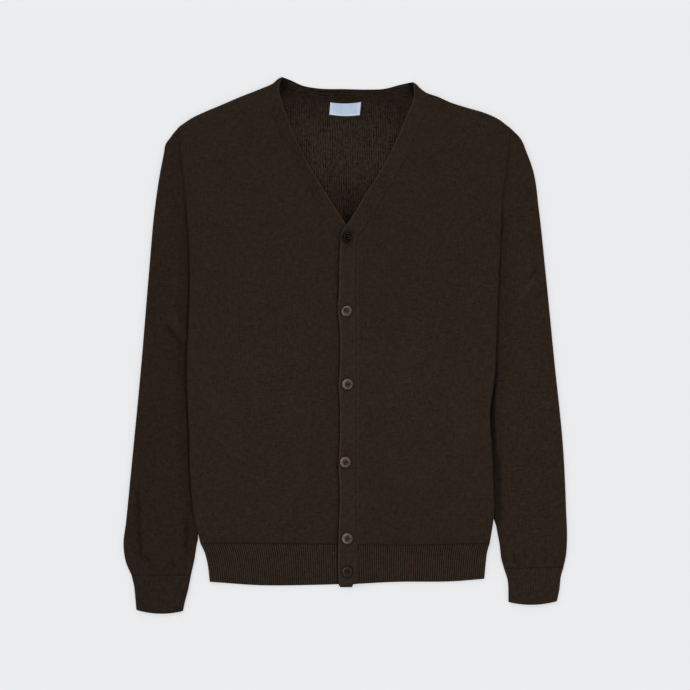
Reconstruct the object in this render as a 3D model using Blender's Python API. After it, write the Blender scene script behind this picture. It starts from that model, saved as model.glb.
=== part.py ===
"""A fine-knit V-neck cardigan, buttoned up and laid flat on its back.

Sizes are in millimetres and meshes in metres. +X runs to the viewer's right, +Y to the
neck and +Z up from the surface it lies on. "Left" and "right" in the names are the
viewer's. The sleeves are folded down beside the body, and their inner parts are tucked
under it, so the body's sides ride over them.
"""

import math

import bmesh
import bpy
import numpy as np

MM = 0.001

# Cloth
WALL = 1.6              # one layer of the fine knit
SEAM = 0.3              # gap between two sewn edges
RIB_WALL = 2.0          # hem and cuff rib, without the raised ribs
RIB_RAISE = 0.6
RIB_PITCH = 3.1
CUFF_RIB_PITCH = 3.5
BAND_WALL = 2.4         # the doubled front band
NECKBAND_WALL = 1.8

# How the layers lie
FOLD_RADIUS = 3.0       # body's side and shoulder folds
PANEL_STACK = 4.1       # back and front panel in the middle of the body
BAND_BASE = 2.3         # underside of the band that lies below
RIB_BASE = 2.35         # underside of the front hem rib
OVERLAP_LIFT = 2.9      # how far the upper band is raised by the one below
LIFT_REACH = 32.0       # width over which the left front rises to the upper band
TUCKED_SLEEVE = 3.6     # thickness of the sleeve under the body
LOOSE_SLEEVE = 7.0      # thickness of the sleeve where it shows
CUFF_STACK = 6.2
BODY_OVER_SLEEVE = 4.2  # height of the body's underside over the tucked sleeve
RAMP = 60.0             # width over which the body comes down to the surface
RAMP_MARGIN = 25.0
RAMP_AIR = 1.2          # how far the front stands off the back on that slope

# Placket
BUTTON_HEIGHT = 3.0
BUTTON_Z = BAND_BASE + OVERLAP_LIFT + BAND_WALL + 0.3
BUTTONS = (             # x, y
    (3.7, 149.4),
    (1.9, 47.7),
    (3.5, -54.2),
    (0.4, -161.7),
    (3.0, -267.3),
    (3.0, -313.2),
)

# Outline of the body, from the neck down each side: x, y
SHOULDER_LEFT = ((-86.5, 371), (-91, 369.3), (-99.5, 362.3), (-115, 355.2), (-146.5, 342.7),
                 (-170, 332.6), (-195, 322.1), (-211.5, 314.2), (-229, 302.5))
SHOULDER_RIGHT = ((93.5, 364), (98, 361.5), (103.5, 356), (112, 349.5), (128.5, 343.5),
                  (145, 336), (170, 328), (195, 320.5), (211.5, 313), (229, 300))
SIDE_LEFT = ((-229, 302.5), (-227.5, 270), (-223.5, 228), (-218.5, 180), (-215, 130),
             (-215, 60), (-217.5, 0), (-218.5, -50), (-215.5, -120), (-213, -193),
             (-208, -238), (-200, -274))
SIDE_RIGHT = ((229, 300), (226, 263), (218.5, 203), (214, 127), (211.5, 59), (209, 0),
              (207, -43), (200.5, -95), (203.5, -149), (205, -187), (205.8, -236),
              (200, -274))
RIB_SIDE_LEFT = ((-200, -274), (-195, -285), (-190.5, -301.5), (-187.2, -327.5))
RIB_SIDE_RIGHT = ((200, -274), (197, -285), (194.9, -301), (192.8, -323.3))
HEM_SEAM = ((-200, -274), (-100, -274.5), (0, -276), (100, -277), (200, -274))
HEM_EDGE = ((-187.2, -327.5), (-126, -332.4), (-40, -332.2), (20, -330.3), (70, -328.1),
            (156, -326.7), (192.8, -323.3))

# Neckline and bands: x, y
V_EDGE_LEFT = ((-86.5, 371), (-91, 356), (-86.5, 336), (-78.5, 313), (-48.5, 247.5),
               (-19, 199), (1.5, 167), (11, 148), (15, 130), (15, 0), (15, -334))
V_SEAM_LEFT = ((-115, 355.2), (-106, 336), (-98, 313), (-69, 258), (-38, 196),
               (-16, 160), (-8.5, 143), (-7, 125), (-7, 0), (-7, -334))
V_EDGE_RIGHT = ((93.5, 364), (95.5, 350), (82, 310), (57.5, 256.5), (27.5, 207.5),
                (4, 169), (-6, 155), (-8, 140), (-8, 0), (-9, -332))
V_SEAM_RIGHT = ((112, 349.5), (114, 340), (101, 300), (76, 245), (47, 196),
                (27, 163.5), (18, 150), (16.5, 130), (16.5, 0), (16.5, -250), (19, -330))
NECK_EDGE = ((-86.5, 371), (-77.5, 367.6), (-58, 359), (-38.5, 355.5), (0, 354.4),
             (29, 353.8), (54, 354.7), (79, 361), (93.5, 364))
NECK_SEAM = ((-115, 355.2), (-92, 347), (-68, 342), (-36, 337), (0, 335.5), (36, 337),
             (66, 341), (92, 345), (112, 349.5))
BAND_WAVE = 2.4         # how far the upper band's edge swells beside each button
BAND_WAVE_REACH = 20.0

NECK_END_GAP = 0.5      # extra room at the neck seam's ends, where both edges fold up

# Sleeves: outer edge from the shoulder to the cuff seam: x, y
SLEEVE_OUTER_LEFT = ((-232, 299.5), (-236.5, 295), (-248, 277.5), (-254.5, 249),
                     (-263.4, 187), (-271, 104), (-281.4, -21), (-297.3, -187), (-303, -245),
                     (-306.5, -277), (-303, -301), (-295.5, -318.5))
SLEEVE_OUTER_RIGHT = ((232, 297.5), (236.5, 293.3), (246.5, 279.3), (257, 253), (268.3, 187),
                      (277.2, 104), (289.6, -21), (302, -145), (306, -228), (307.2, -271),
                      (306, -290), (302.4, -307.5))
# What the body hides: how far the sleeve's inner fold reaches under the body's side at y.
# A negative reach is a fold that stays outside the body.
TUCK = ((320, -75), (196, -75), (142, -8), (112, 0), (80, 30), (40, 58), (0, 74),
        (-40, 76), (-90, 60), (-140, 40), (-190, 20), (-225, 5), (-245, -10), (-290, -75),
        (-400, -75))
# Inner fold where it shows, down to the cuff seam: x, y
SLEEVE_INNER_LEFT = ((-205.5, -262), (-204.8, -279), (-207.3, -296), (-213, -318.5))
SLEEVE_INNER_RIGHT = ((209, -250), (213.7, -275), (216, -296), (220, -309.5))
CUFF_OUTER_LEFT = ((-295.5, -318.8), (-292.3, -335), (-289.8, -358), (-287.2, -366))
CUFF_INNER_LEFT = ((-213, -318.8), (-217.3, -340), (-221.8, -357), (-224, -368))
CUFF_OUTER_RIGHT = ((302.4, -307.8), (298.8, -320), (296.9, -337), (293.4, -354.3))
CUFF_INNER_RIGHT = ((220, -309.8), (224.8, -325), (226, -345), (226, -355.5))
CUFF_SAG = 4.4          # how far a cuff's ends bow down in the middle

# Where the right sleeve folds up beside the body: y, width of the groove
GROOVE_RIGHT = ((-30, 0), (-60, 8), (-140, 8), (-160, 0))

LABEL_CORNERS = ((-20.5, 336), (22.5, 336.5), (20.5, 317.5), (-22, 318.5))
LABEL_WALL = 0.6

CLOTH = (0.024, 0.016, 0.011, 1)
INSIDE = (0.022, 0.015, 0.0105, 1)
RIB_CLOTH = (0.023, 0.0155, 0.0108, 1)
BAND_CLOTH = (0.028, 0.019, 0.0125, 1)
LABEL_CLOTH = (0.52, 0.60, 0.74, 1)
HORN = (0.11, 0.075, 0.052, 1)
DARK_HORN = (0.018, 0.017, 0.017, 1)


class Line:
    """A smooth line through the rows of a table, read by the share of its length."""

    def __init__(self, rows, smooth=True):
        knots = np.array(rows, float)
        self.points = self._rounded(knots) if smooth else knots
        steps = np.linalg.norm(np.diff(self.points, axis=0), axis=1)
        self.reach = np.concatenate(([0.0], np.cumsum(steps)))
        self.length = self.reach[-1]

    @staticmethod
    def _rounded(knots, steps=10):
        """Cubic stretches whose slopes at the knots weigh both neighbours."""
        gaps = np.linalg.norm(np.diff(knots, axis=0), axis=1)
        chord = np.diff(knots, axis=0) / gaps[:, None]
        slopes = [chord[0]]
        for i in range(1, len(knots) - 1):
            weighed = chord[i - 1] * gaps[i] + chord[i] * gaps[i - 1]
            slopes.append(weighed / (gaps[i - 1] + gaps[i]))
        slopes.append(chord[-1])
        out = []
        for i, gap in enumerate(gaps):
            t = np.linspace(0, 1, steps, endpoint=False)[:, None]
            out.append((2 * t**3 - 3 * t**2 + 1) * knots[i]
                       + (t**3 - 2 * t**2 + t) * slopes[i] * gap
                       + (3 * t**2 - 2 * t**3) * knots[i + 1]
                       + (t**3 - t**2) * slopes[i + 1] * gap)
        out.append(knots[-1:])
        return np.vstack(out)

    def at(self, shares):
        """Points at the given shares of the length."""
        along = np.clip(np.asarray(shares, float), 0, 1) * self.length
        return np.column_stack([np.interp(along, self.reach, column)
                                for column in self.points.T])

    def share_near(self, point):
        """The share of the length nearest to a point."""
        nearest, part, _ = nearest_place(self, np.array([point], float))
        step = self.reach[nearest[0] + 1] - self.reach[nearest[0]]
        return (self.reach[nearest[0]] + part[0] * step) / self.length

    def shares(self):
        """The share of the length at each of the line's own points."""
        return self.reach / self.length

    def between(self, start, end):
        """The stretch from one share to another, backwards when end is the smaller."""
        low, high = min(start, end), max(start, end)
        own = self.shares()
        own = own[(own > low + 1e-6) & (own < high - 1e-6)]
        stretch = self.at(np.concatenate(([low], own, [high])))
        return Line(stretch if start < end else stretch[::-1], smooth=False)

    def chorded(self, shares):
        """The same line in straight runs between the shares, as two sewn edges share it."""
        line = Line(self.at(shares), smooth=False)
        line.reach, line.length = np.asarray(shares) * self.length, self.length
        return line

    def moved(self, dx, dy=0.0):
        line = Line(self.points + (dx, dy), smooth=False)
        line.reach, line.length = self.reach, self.length
        return line

    def x_at(self, y):
        """X of a line that runs down, at each y."""
        return np.interp(-np.asarray(y), -self.points[:, 1], self.points[:, 0])


def nearest_place(line, points):
    """For each point, the line's nearest run, the place along it and the distance."""
    start = line.points[:-1]
    span = np.diff(line.points, axis=0)
    offset = points[:, None, :] - start[None]
    part = np.clip((offset * span).sum(2) / np.maximum((span**2).sum(1), 1e-9), 0, 1)
    gap = np.linalg.norm(offset - part[..., None] * span, axis=2)
    nearest = gap.argmin(1)
    rows = np.arange(len(points))
    return nearest, part[rows, nearest], gap[rows, nearest]


def joined(*lines):
    """One line out of stretches that follow each other."""
    rows = [lines[0].points]
    for line in lines[1:]:
        touching = np.linalg.norm(rows[-1][-1] - line.points[0]) < 1e-6
        rows.append(line.points[1:] if touching else line.points)
    return Line(np.vstack(rows), smooth=False)


def smooth(value):
    """0 to 1 with no corner at either end."""
    t = np.clip(value, 0, 1)
    return t * t * (3 - 2 * t)


def table_at(table, key):
    """A two-column table read at key, whichever way its first column runs."""
    rows = np.array(table, float)
    order = np.argsort(rows[:, 0])
    return np.interp(key, rows[order, 0], rows[order, 1])


# The folded outline of each side. Its curl says how far the cloth turns down there: 1 is
# a full fold, and 0.25 the soft valley of the armhole seam.
class Rim:
    """One side's outline, with how far the cloth curls over at each place."""

    def __init__(self, shoulder, side, rib_side, inside):
        self.line = joined(shoulder, side, rib_side)
        corner = shoulder.length
        hip = corner + side.length * side.share_near((side.x_at(0.0), 0.0))
        arc = (0, corner - 12, corner + 14, corner + 150, hip - 60, hip + 30,
               self.line.length)
        self.curl = np.interp(self.line.reach, arc, (1, 1, 0.25, 0.25, 0.45, 1, 1))
        tangent = np.gradient(self.line.points, axis=0)
        normal = np.column_stack((tangent[:, 1], -tangent[:, 0]))
        normal /= np.linalg.norm(normal, axis=1)[:, None]
        middle = len(normal) // 2
        if np.dot(normal[middle], np.array(inside) - self.line.points[middle]) > 0:
            normal = -normal
        self.outward = normal

    def read(self, points):
        """Distance to the outline, its outward direction and its curl, at each point."""
        nearest, t, gap = nearest_place(self.line, points)
        outward = (self.outward[nearest] * (1 - t)[:, None]
                   + self.outward[nearest + 1] * t[:, None])
        outward /= np.linalg.norm(outward, axis=1)[:, None]
        curl = self.curl[nearest] * (1 - t) + self.curl[nearest + 1] * t
        return gap, outward, curl


def turned(distance, curl, radius):
    """Reach of a fold, and the fall and tilt of its surface at a distance inside."""
    curl = np.maximum(curl, 1e-3)
    bend = radius / curl
    angle = curl * math.pi / 2
    reach = bend * np.sin(angle)
    inset = np.clip(reach - distance, 0, None)
    tilt = np.arcsin(np.clip(inset / bend, 0, 1))
    return reach, bend * (1 - np.cos(tilt)), tilt


def back_curl(curl):
    """The back panel only turns up where the front turns down far enough to meet it."""
    return np.clip((curl - 0.45) / 0.55, 0, 1)


def edge_stack(curl):
    """Height of the folded body at its edge, so that front and back meet at the seam."""
    zero = np.zeros_like(curl)
    _, front_fall, front_tilt = turned(zero, curl, FOLD_RADIUS)
    _, back_rise, back_tilt = turned(zero, back_curl(curl), FOLD_RADIUS)
    return (front_fall + back_rise + SEAM
            + WALL * (np.cos(front_tilt) + np.cos(back_tilt)))


def stops(length, near, step, near_end=()):
    """Shares of a length: close stops at both ends, and even ones about step apart."""
    finish = [length - value for value in near_end] or [length]
    count = max(1, round((finish[0] - near[-1]) / step))
    middle = np.linspace(near[-1], finish[0], count + 1)
    return np.concatenate((near, middle[1:], finish[1:])) / length


FOLD_STOPS = (0, 0.45, 1.5, 3.2, 8, 17)     # inside a folded edge
VALLEY_STOPS = (9, 3, 0)                    # toward a sewn edge
PANEL_ROWS = stops(600, FOLD_STOPS, 40)     # down the body, from the shoulder fold
NECK_COLUMNS = stops(240, (0, 1.5, 3.2, 9), 37, (9, 3.2, 1.5, 0))    # behind the neck

shoulder_left = Line(SHOULDER_LEFT)
shoulder_right = Line(SHOULDER_RIGHT)
side_left = Line(SIDE_LEFT).chorded(PANEL_ROWS)
side_right = Line(SIDE_RIGHT).chorded(PANEL_ROWS)
rib_side_left = Line(RIB_SIDE_LEFT)
rib_side_right = Line(RIB_SIDE_RIGHT)
rim_left = Rim(shoulder_left, side_left, rib_side_left, (0, 0))
rim_right = Rim(shoulder_right, side_right, rib_side_right, (0, 0))
hem_seam = Line(HEM_SEAM)
hem_edge = Line(HEM_EDGE)


def read_rims(points):
    """Distance, outward direction and curl of the nearer side's outline."""
    left = rim_left.read(points)
    right = rim_right.read(points)
    nearer = left[0] < right[0]
    return (np.where(nearer, left[0], right[0]),
            np.where(nearer[:, None], left[1], right[1]),
            np.where(nearer, left[2], right[2]))


def base_height(points):
    """How high the body's underside lies: on the surface, or over a tucked sleeve."""
    x, y = points[:, 0], points[:, 1]
    tuck = table_at(TUCK, y)
    inside_left = side_left.x_at(y) + tuck - x
    inside_right = x - (side_right.x_at(y) - tuck)
    inside = np.maximum(inside_left, inside_right)
    return BODY_OVER_SLEEVE * smooth((inside + RAMP_MARGIN + RAMP) / RAMP)


def overlap_lift(points):
    """How far the right-hand front and its band rise over the band below."""
    x, y = points[:, 0], points[:, 1]
    across = smooth((LIFT_REACH + 20 - x) / LIFT_REACH)
    down = smooth((222 - y) / 44)
    return OVERLAP_LIFT * across * down


def slope_air(points):
    """The front panel's extra height where the body slopes down to the surface."""
    share = base_height(points) / BODY_OVER_SLEEVE
    return RAMP_AIR * 4 * share * (1 - share)


def upper_surface(points, stack, wall, lifted=False, raised=0.0):
    """Outer and inner points of a layer that faces up, folded down at the outline."""
    distance, outward, curl = read_rims(points)
    reach, fall, tilt = turned(distance, curl, FOLD_RADIUS)
    away = np.clip(distance - reach, 0, None)
    height = stack + (np.maximum(edge_stack(curl), stack) - stack) * np.exp(-(away / 18)**2)
    top = base_height(points) + slope_air(points) + height - fall
    if lifted:
        top = top + overlap_lift(points)
    normal = np.column_stack((outward * np.sin(tilt)[:, None], np.cos(tilt)))
    outer = np.column_stack((points, top))
    inner = outer - wall * normal
    outer = outer + normal * np.reshape(raised, (-1, 1))
    return outer, inner


def lower_surface(points, wall):
    """Outer and inner points of a layer that faces down, folded up at the outline."""
    distance, outward, curl = read_rims(points)
    _, rise, tilt = turned(distance, back_curl(curl), FOLD_RADIUS)
    bottom = base_height(points) + rise
    normal = np.column_stack((outward * np.sin(tilt)[:, None], -np.cos(tilt)))
    outer = np.column_stack((points, bottom))
    return outer, outer - wall * normal


def patch(top, bottom, left, right, across, down):
    """Grid of points between four lines; returns points and quads."""
    u = np.asarray(across, float)
    v = np.asarray(down, float)
    t, b = top.at(u), bottom.at(u)
    le, r = left.at(v), right.at(v)
    uu, vv = np.meshgrid(u, v)
    grid = ((1 - vv)[..., None] * t[None] + vv[..., None] * b[None]
            + (1 - uu)[..., None] * le[:, None] + uu[..., None] * r[:, None]
            - ((1 - uu) * (1 - vv))[..., None] * t[0] - (uu * (1 - vv))[..., None] * t[-1]
            - ((1 - uu) * vv)[..., None] * b[0] - (uu * vv)[..., None] * b[-1])
    return grid.reshape(-1, 2), grid_quads(len(v), len(u))


def grid_quads(rows, columns):
    quads = []
    for i in range(rows - 1):
        for j in range(columns - 1):
            first = i * columns + j
            quads.append((first, first + 1, first + columns + 1, first + columns))
    return quads


def material(name, color, roughness=0.9):
    made = bpy.data.materials.new(name)
    made.use_nodes = True
    shader = made.node_tree.nodes["Principled BSDF"]
    shader.inputs["Base Color"].default_value = color
    shader.inputs["Roughness"].default_value = roughness
    shader.inputs["Metallic"].default_value = 0.0
    return made


def add_mesh(name, points, faces, color, roughness=0.9):
    """One object from points in millimetres, its faces turned outward."""
    mesh = bpy.data.meshes.new(name)
    mesh.from_pydata([tuple(p * MM) for p in np.asarray(points, float)], [], faces)
    shell = bmesh.new()
    shell.from_mesh(mesh)
    bmesh.ops.recalc_face_normals(shell, faces=shell.faces)
    shell.to_mesh(mesh)
    shell.free()
    mesh.materials.append(material(name, color, roughness))
    made = bpy.data.objects.new(name, mesh)
    bpy.context.scene.collection.objects.link(made)
    return made


def add_wall(name, outer, inner, quads, color):
    """A closed wall between two sheets of points that share their quads."""
    count = len(outer)
    used = {}
    for quad in quads:
        for a, b in zip(quad, quad[1:] + quad[:1]):
            used[(a, b)] = True
    rim = [(a, b) for a, b in used if (b, a) not in used]
    halves = [half for a, b, c, d in quads for half in ((a, b, c), (a, c, d))]
    faces = halves + [(count + c, count + b, count + a) for a, b, c in halves]
    for a, b in rim:
        faces += [(b, a, count + a), (b, count + a, count + b)]
    return add_mesh(name, np.vstack((outer, inner)), faces, color)


def band_seam_line(rows):
    """A band's seam: straight runs that the front panel shares, then down the rib."""
    line = Line(rows)
    hem = line.share_near((line.x_at(-274.0), -274.0))
    sewn = line.between(0, hem).chorded(PANEL_ROWS)
    return sewn, joined(sewn, line.between(hem, 1))


def make_front(name, shoulder_line, side, band_rows, mirrored, lifted):
    """A front panel: shoulder, armhole and side, hem seam, and the band's seam."""
    sewn, _ = band_seam_line(band_rows)
    shoulder = shoulder_line.between(shoulder_line.share_near(band_rows[0]), 1)
    split = hem_seam.share_near(sewn.points[-1])
    if mirrored:
        across = stops(190, (0, 3, 9, 18), 21, FOLD_STOPS[::-1])
        points, quads = patch(shoulder, hem_seam.between(split, 1), sewn.moved(SEAM),
                              side, across, PANEL_ROWS)
    else:
        across = stops(200, FOLD_STOPS, 20, VALLEY_STOPS)
        points, quads = patch(shoulder.between(1, 0), hem_seam.between(0, split), side,
                              sewn.moved(-SEAM), across, PANEL_ROWS)
    outer, inner = upper_surface(points, PANEL_STACK, WALL, lifted)
    return add_wall(name, outer, inner, quads, CLOTH)


def make_back():
    """The back panel, whose underside is flat where it rests."""
    left = shoulder_left.between(1, shoulder_left.share_near(NECK_SEAM[0]))
    right = shoulder_right.between(shoulder_right.share_near(NECK_SEAM[-1]), 1)
    neck = Line(NECK_SEAM).chorded(NECK_COLUMNS).moved(0, -SEAM)
    near_fold = 1 - smooth(read_rims(neck.points)[0] / 14)
    neck.points[:, 1] -= NECK_END_GAP * near_fold
    top = joined(left, neck, right)
    fold = np.array(FOLD_STOPS) / 430
    middle = np.array([top.share_near(point) for point in neck.points])
    across = np.concatenate((fold, np.linspace(fold[-1], middle[0], 4)[1:-1], middle,
                             np.linspace(middle[-1], 1 - fold[-1], 4)[1:-1],
                             1 - fold[::-1]))
    points, quads = patch(top, hem_seam, side_left, side_right, across, PANEL_ROWS)
    outer, inner = lower_surface(points, WALL)
    return add_wall("back_panel", outer, inner, quads, INSIDE)


def swollen(line):
    """The upper band's free edge, with a swell beside each button."""
    points = line.points.copy()
    for _, y in BUTTONS[1:]:
        swell = np.exp(-((points[:, 1] - y) / BAND_WAVE_REACH)**2)
        points[:, 0] -= BAND_WAVE * swell
    return Line(points, smooth=False)


def make_band(name, edge, seam_rows, mirrored, lifted):
    """A front band from its fold over the shoulder to the hem."""
    _, seam = band_seam_line(seam_rows)
    shoulder = shoulder_right if mirrored else shoulder_left
    start = shoulder.between(0, shoulder.share_near(seam_rows[0]))
    own = seam.shares()
    down = np.unique(np.concatenate((own, (own[1:] + own[:-1]) / 2)))
    down = down[np.concatenate(([True], np.diff(down) * seam.length > 0.2))]
    across = np.array((0, 0.06, 0.5, 0.94, 1))
    if mirrored:
        top, left, right = start, edge, seam
    else:
        top, left, right = start.between(1, 0), seam, edge
    bottom = Line((left.points[-1], right.points[-1]), smooth=False)
    points, quads = patch(top, bottom, left, right, across, down)
    outer, inner = upper_surface(points, BAND_BASE + BAND_WALL, BAND_WALL, lifted)
    # Both long edges are rounded a little, above and below.
    share = np.tile(across, len(down))
    rounding = np.interp(np.minimum(share, 1 - share), (0, 0.06), (0.5, 0.0))
    rounding *= smooth(read_rims(points)[0] / 10)
    outer[:, 2] -= rounding
    inner[:, 2] += rounding * 0.6
    return add_wall(name, outer, inner, quads, BAND_CLOTH)


def make_neckband():
    """The band behind the neck, lying on its outer face with its inside up."""
    edge, seam = Line(NECK_EDGE), Line(NECK_SEAM).chorded(NECK_COLUMNS)
    left = shoulder_left.between(0, shoulder_left.share_near(NECK_SEAM[0]))
    right = shoulder_right.between(0, shoulder_right.share_near(NECK_SEAM[-1]))
    down = (0, 0.06, 0.94, 1)
    points, quads = patch(edge, seam, left, right, NECK_COLUMNS, down)
    outer, inner = lower_surface(points, NECKBAND_WALL)
    share = np.repeat(down, len(NECK_COLUMNS))
    rounding = np.interp(np.minimum(share, 1 - share), (0, 0.06), (0.5, 0.0))
    inner[:, 2] -= rounding * smooth(read_rims(points)[0] / 10)
    return add_wall("neckband_back", outer, inner, quads, BAND_CLOTH)


RIB_ROWS = (0, 0.42, 1)


def rib_stops(length, pitch):
    """Shares of a row of ribs, with whether each stop is a crest."""
    count = max(2, round(length / pitch))
    stops_ = np.linspace(0, 1, 2 * count + 1)
    return stops_, np.arange(2 * count + 1) % 2


def make_front_rib(name, rib_side, band_rows, mirrored, lifted):
    """The front half of the hem rib on one side, up to the band's seam."""
    band = band_seam_line(band_rows)[1].moved(SEAM if mirrored else -SEAM)
    band = band.between(band.share_near((band.x_at(-276.0), -276.0 - SEAM)),
                        band.share_near((band.x_at(-330.0), -330.0)))
    seam = hem_seam.moved(0, -SEAM)
    split_top = seam.share_near(band.points[0])
    split_low = hem_edge.share_near(band.points[-1])
    side = Line(rib_side.points - (0, SEAM), smooth=False)
    if mirrored:
        top, low = seam.between(split_top, 1), hem_edge.between(split_low, 1)
    else:
        top, low = seam.between(0, split_top), hem_edge.between(0, split_low)
    even, crest = rib_stops(top.length, RIB_PITCH)
    fold = np.array((0.5, 1.5)) / top.length
    if mirrored:
        across = np.concatenate((even[:-1], 1 - fold[::-1], [1.0]))
        crest = np.concatenate((crest[:-1], (0, 0, 0)))
    else:
        across = np.concatenate(([0.0], fold, even[1:]))
        crest = np.concatenate(((0, 0, 0), crest[1:]))
    across, order = np.unique(np.round(across, 6), return_index=True)
    crest = crest[order]
    left, right = (band, side) if mirrored else (side, band)
    points, quads = patch(top, low, left, right, across, RIB_ROWS)
    ribs = np.tile(crest, len(RIB_ROWS)) * RIB_RAISE
    outer, inner = upper_surface(points, RIB_BASE + RIB_WALL, RIB_WALL, lifted, ribs)
    return add_wall(name, outer, inner, quads, RIB_CLOTH)


def make_back_rib():
    """The back half of the hem rib, plain because it lies on the surface."""
    top = hem_seam.moved(0, -SEAM)
    low = Line(hem_edge.points + (0, 1.0), smooth=False)
    left = Line(rib_side_left.points - (0, SEAM), smooth=False)
    right = Line(rib_side_right.points - (0, SEAM), smooth=False)
    fold = tuple(FOLD_STOPS[:5])
    across = stops(390, fold, 26, tuple(reversed(fold)))
    points, quads = patch(top, low, left, right, across, RIB_ROWS)
    outer, inner = lower_surface(points, RIB_WALL)
    return add_wall("hem_rib_back", outer, inner, quads, RIB_CLOTH)


def sleeve_rows(outer_line, side, shown, mirrored):
    """Inner end, outer end and body's edge of each row across the sleeve.

    Above the tuck the rows end at the armhole seam, below it at the hidden fold, and
    beyond the body at the fold that shows.
    """
    outward = 1.0 if mirrored else -1.0
    seam = side.points[np.r_[0, len(FOLD_STOPS) - 1:len(side.points)]]
    seam = seam[seam[:, 1] > 116] + (outward * SEAM, 0)
    ys = np.linspace(104, -215, 10)
    reach = table_at(TUCK, ys)
    hidden = np.column_stack((side.x_at(ys) - outward * reach, ys))
    inner = np.vstack((seam, hidden, np.array(shown, float)))
    outer_y = np.minimum(inner[:, 1], outer_line.points[0, 1])
    outer_y[-1] = outer_line.points[-1, 1]
    outer = np.column_stack((outer_line.x_at(outer_y), outer_y))
    return inner, outer, len(seam)


def row_stops(width, edge):
    """Places across one row: the inner fold, the body's edge, then the outer fold."""
    fold = min(3.6, width * 0.45)
    edge = min(max(edge, 7.0), width * 0.5)
    hidden = np.array((0, 0.12, 0.5)) * min(3.6, edge)
    shown = width - np.array((fold, fold * 0.5, fold * 0.13, 0))
    return np.concatenate((hidden, (edge * 0.75, edge),
                           edge + (shown[0] - edge) * np.array((0.14, 0.32, 0.75)), shown))


def sleeve_stack(points, side, mirrored, free_from, low_edge):
    """Thickness of the flattened sleeve: thin under the body, fuller where it shows."""
    x, y = points[:, 0], points[:, 1]
    line = side.x_at(y)
    out = (x - line) if mirrored else (line - x)
    groove = table_at(GROOVE_RIGHT, y) if mirrored else np.zeros(len(y))
    rise = np.where(groove > 1, 6.0, 15.0)
    free = smooth((free_from - y) / 25)
    shown = np.maximum(smooth((out - 4 - groove) / rise), free)
    loose = LOOSE_SLEEVE + (CUFF_STACK - LOOSE_SLEEVE) * smooth((low_edge + 40 - y) / 40)
    cap = smooth((side.points[0, 1] - y) / 40)
    loose = TUCKED_SLEEVE + 0.9 + (loose - TUCKED_SLEEVE - 0.9) * cap
    return TUCKED_SLEEVE + (loose - TUCKED_SLEEVE) * shown


def line_fold(points, line, curl, radius):
    """Fall and tilt of a surface that curls down at one line."""
    _, _, distance = nearest_place(line, points)
    _, fall, tilt = turned(distance, curl, radius)
    return fall, tilt


def make_sleeve(name, outer_rows, side, shown, mirrored):
    """A flattened tube with its underarm seam at the inner fold."""
    inner, outer, sewn_rows = sleeve_rows(Line(outer_rows), side, shown, mirrored)
    rows = []
    for first, last in zip(inner, outer):
        width = np.linalg.norm(last - first)
        edge = abs(float(side.x_at(first[1])) - first[0])
        share = row_stops(width, edge)[:, None] / width
        rows.append(first * (1 - share) + last * share)
    points = np.vstack(rows)
    columns, count = len(rows[0]), len(points)
    stack = sleeve_stack(points, side, mirrored, shown[0][1], outer[-1, 1])
    per_row = stack.reshape(-1, columns)
    width = np.repeat(np.linalg.norm(outer - inner, axis=1), columns)
    outer_radius = np.minimum(np.repeat(per_row[:, -1] / 2, columns), width * 0.45)
    inner_radius = np.repeat(per_row[:, 0] / 2, columns)
    tubed = np.repeat(np.arange(len(rows)) >= sewn_rows, columns)
    seam_curl = np.where(tubed, 1.0, 0.2)
    outer_edge, inner_edge = Line(outer, smooth=False), Line(inner, smooth=False)
    fall_out, tilt_out = line_fold(points, outer_edge, np.ones(count), outer_radius)
    fall_in, tilt_in = line_fold(points, inner_edge, seam_curl, inner_radius)
    fall_out *= per_row[:, -1].repeat(columns) / (2 * outer_radius)
    sign = 1.0 if mirrored else -1.0
    lean = sign * (np.sin(tilt_out) - np.sin(tilt_in))
    lean_low = sign * (np.sin(tilt_out) - np.where(tubed, np.sin(tilt_in), 0))
    split = np.tile(np.arange(columns) == 0, len(rows)) * SEAM / 2
    top = np.column_stack((points, stack - fall_out - fall_in + split))
    low = np.column_stack((points, fall_out + np.where(tubed, fall_in - split, 0)))
    top_in = top - WALL * leaning(lean, 1)
    low_in = low - WALL * leaning(lean_low, -1)
    return add_folded(name, (top, top_in), (low, low_in), len(rows), columns, CLOTH)


def leaning(lean, up):
    """Unit vectors that lean along X and otherwise point up or down."""
    rise = up * np.sqrt(np.clip(1 - lean**2, 0, 1))
    return np.column_stack((lean, np.zeros(len(lean)), rise))


def add_folded(name, upper, lower, rows, columns, color, closed=False):
    """A wall of an upper and a lower grid that share the last column (and the first)."""
    first_low = 1 if closed else 0
    width = columns - 1 - first_low
    def low_index(i, j):
        if j == columns - 1 or (closed and j == 0):
            return i * columns + j
        return rows * columns + i * width + (j - first_low)
    quads = grid_quads(rows, columns)
    for i in range(rows - 1):
        for j in range(columns - 1):
            quads.append((low_index(i, j), low_index(i + 1, j),
                          low_index(i + 1, j + 1), low_index(i, j + 1)))
    keep = [i * columns + j for i in range(rows) for j in range(first_low, columns - 1)]
    outer = np.vstack((upper[0], lower[0][keep]))
    inner = np.vstack((upper[1], lower[1][keep]))
    return add_wall(name, outer, inner, quads, color)


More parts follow.
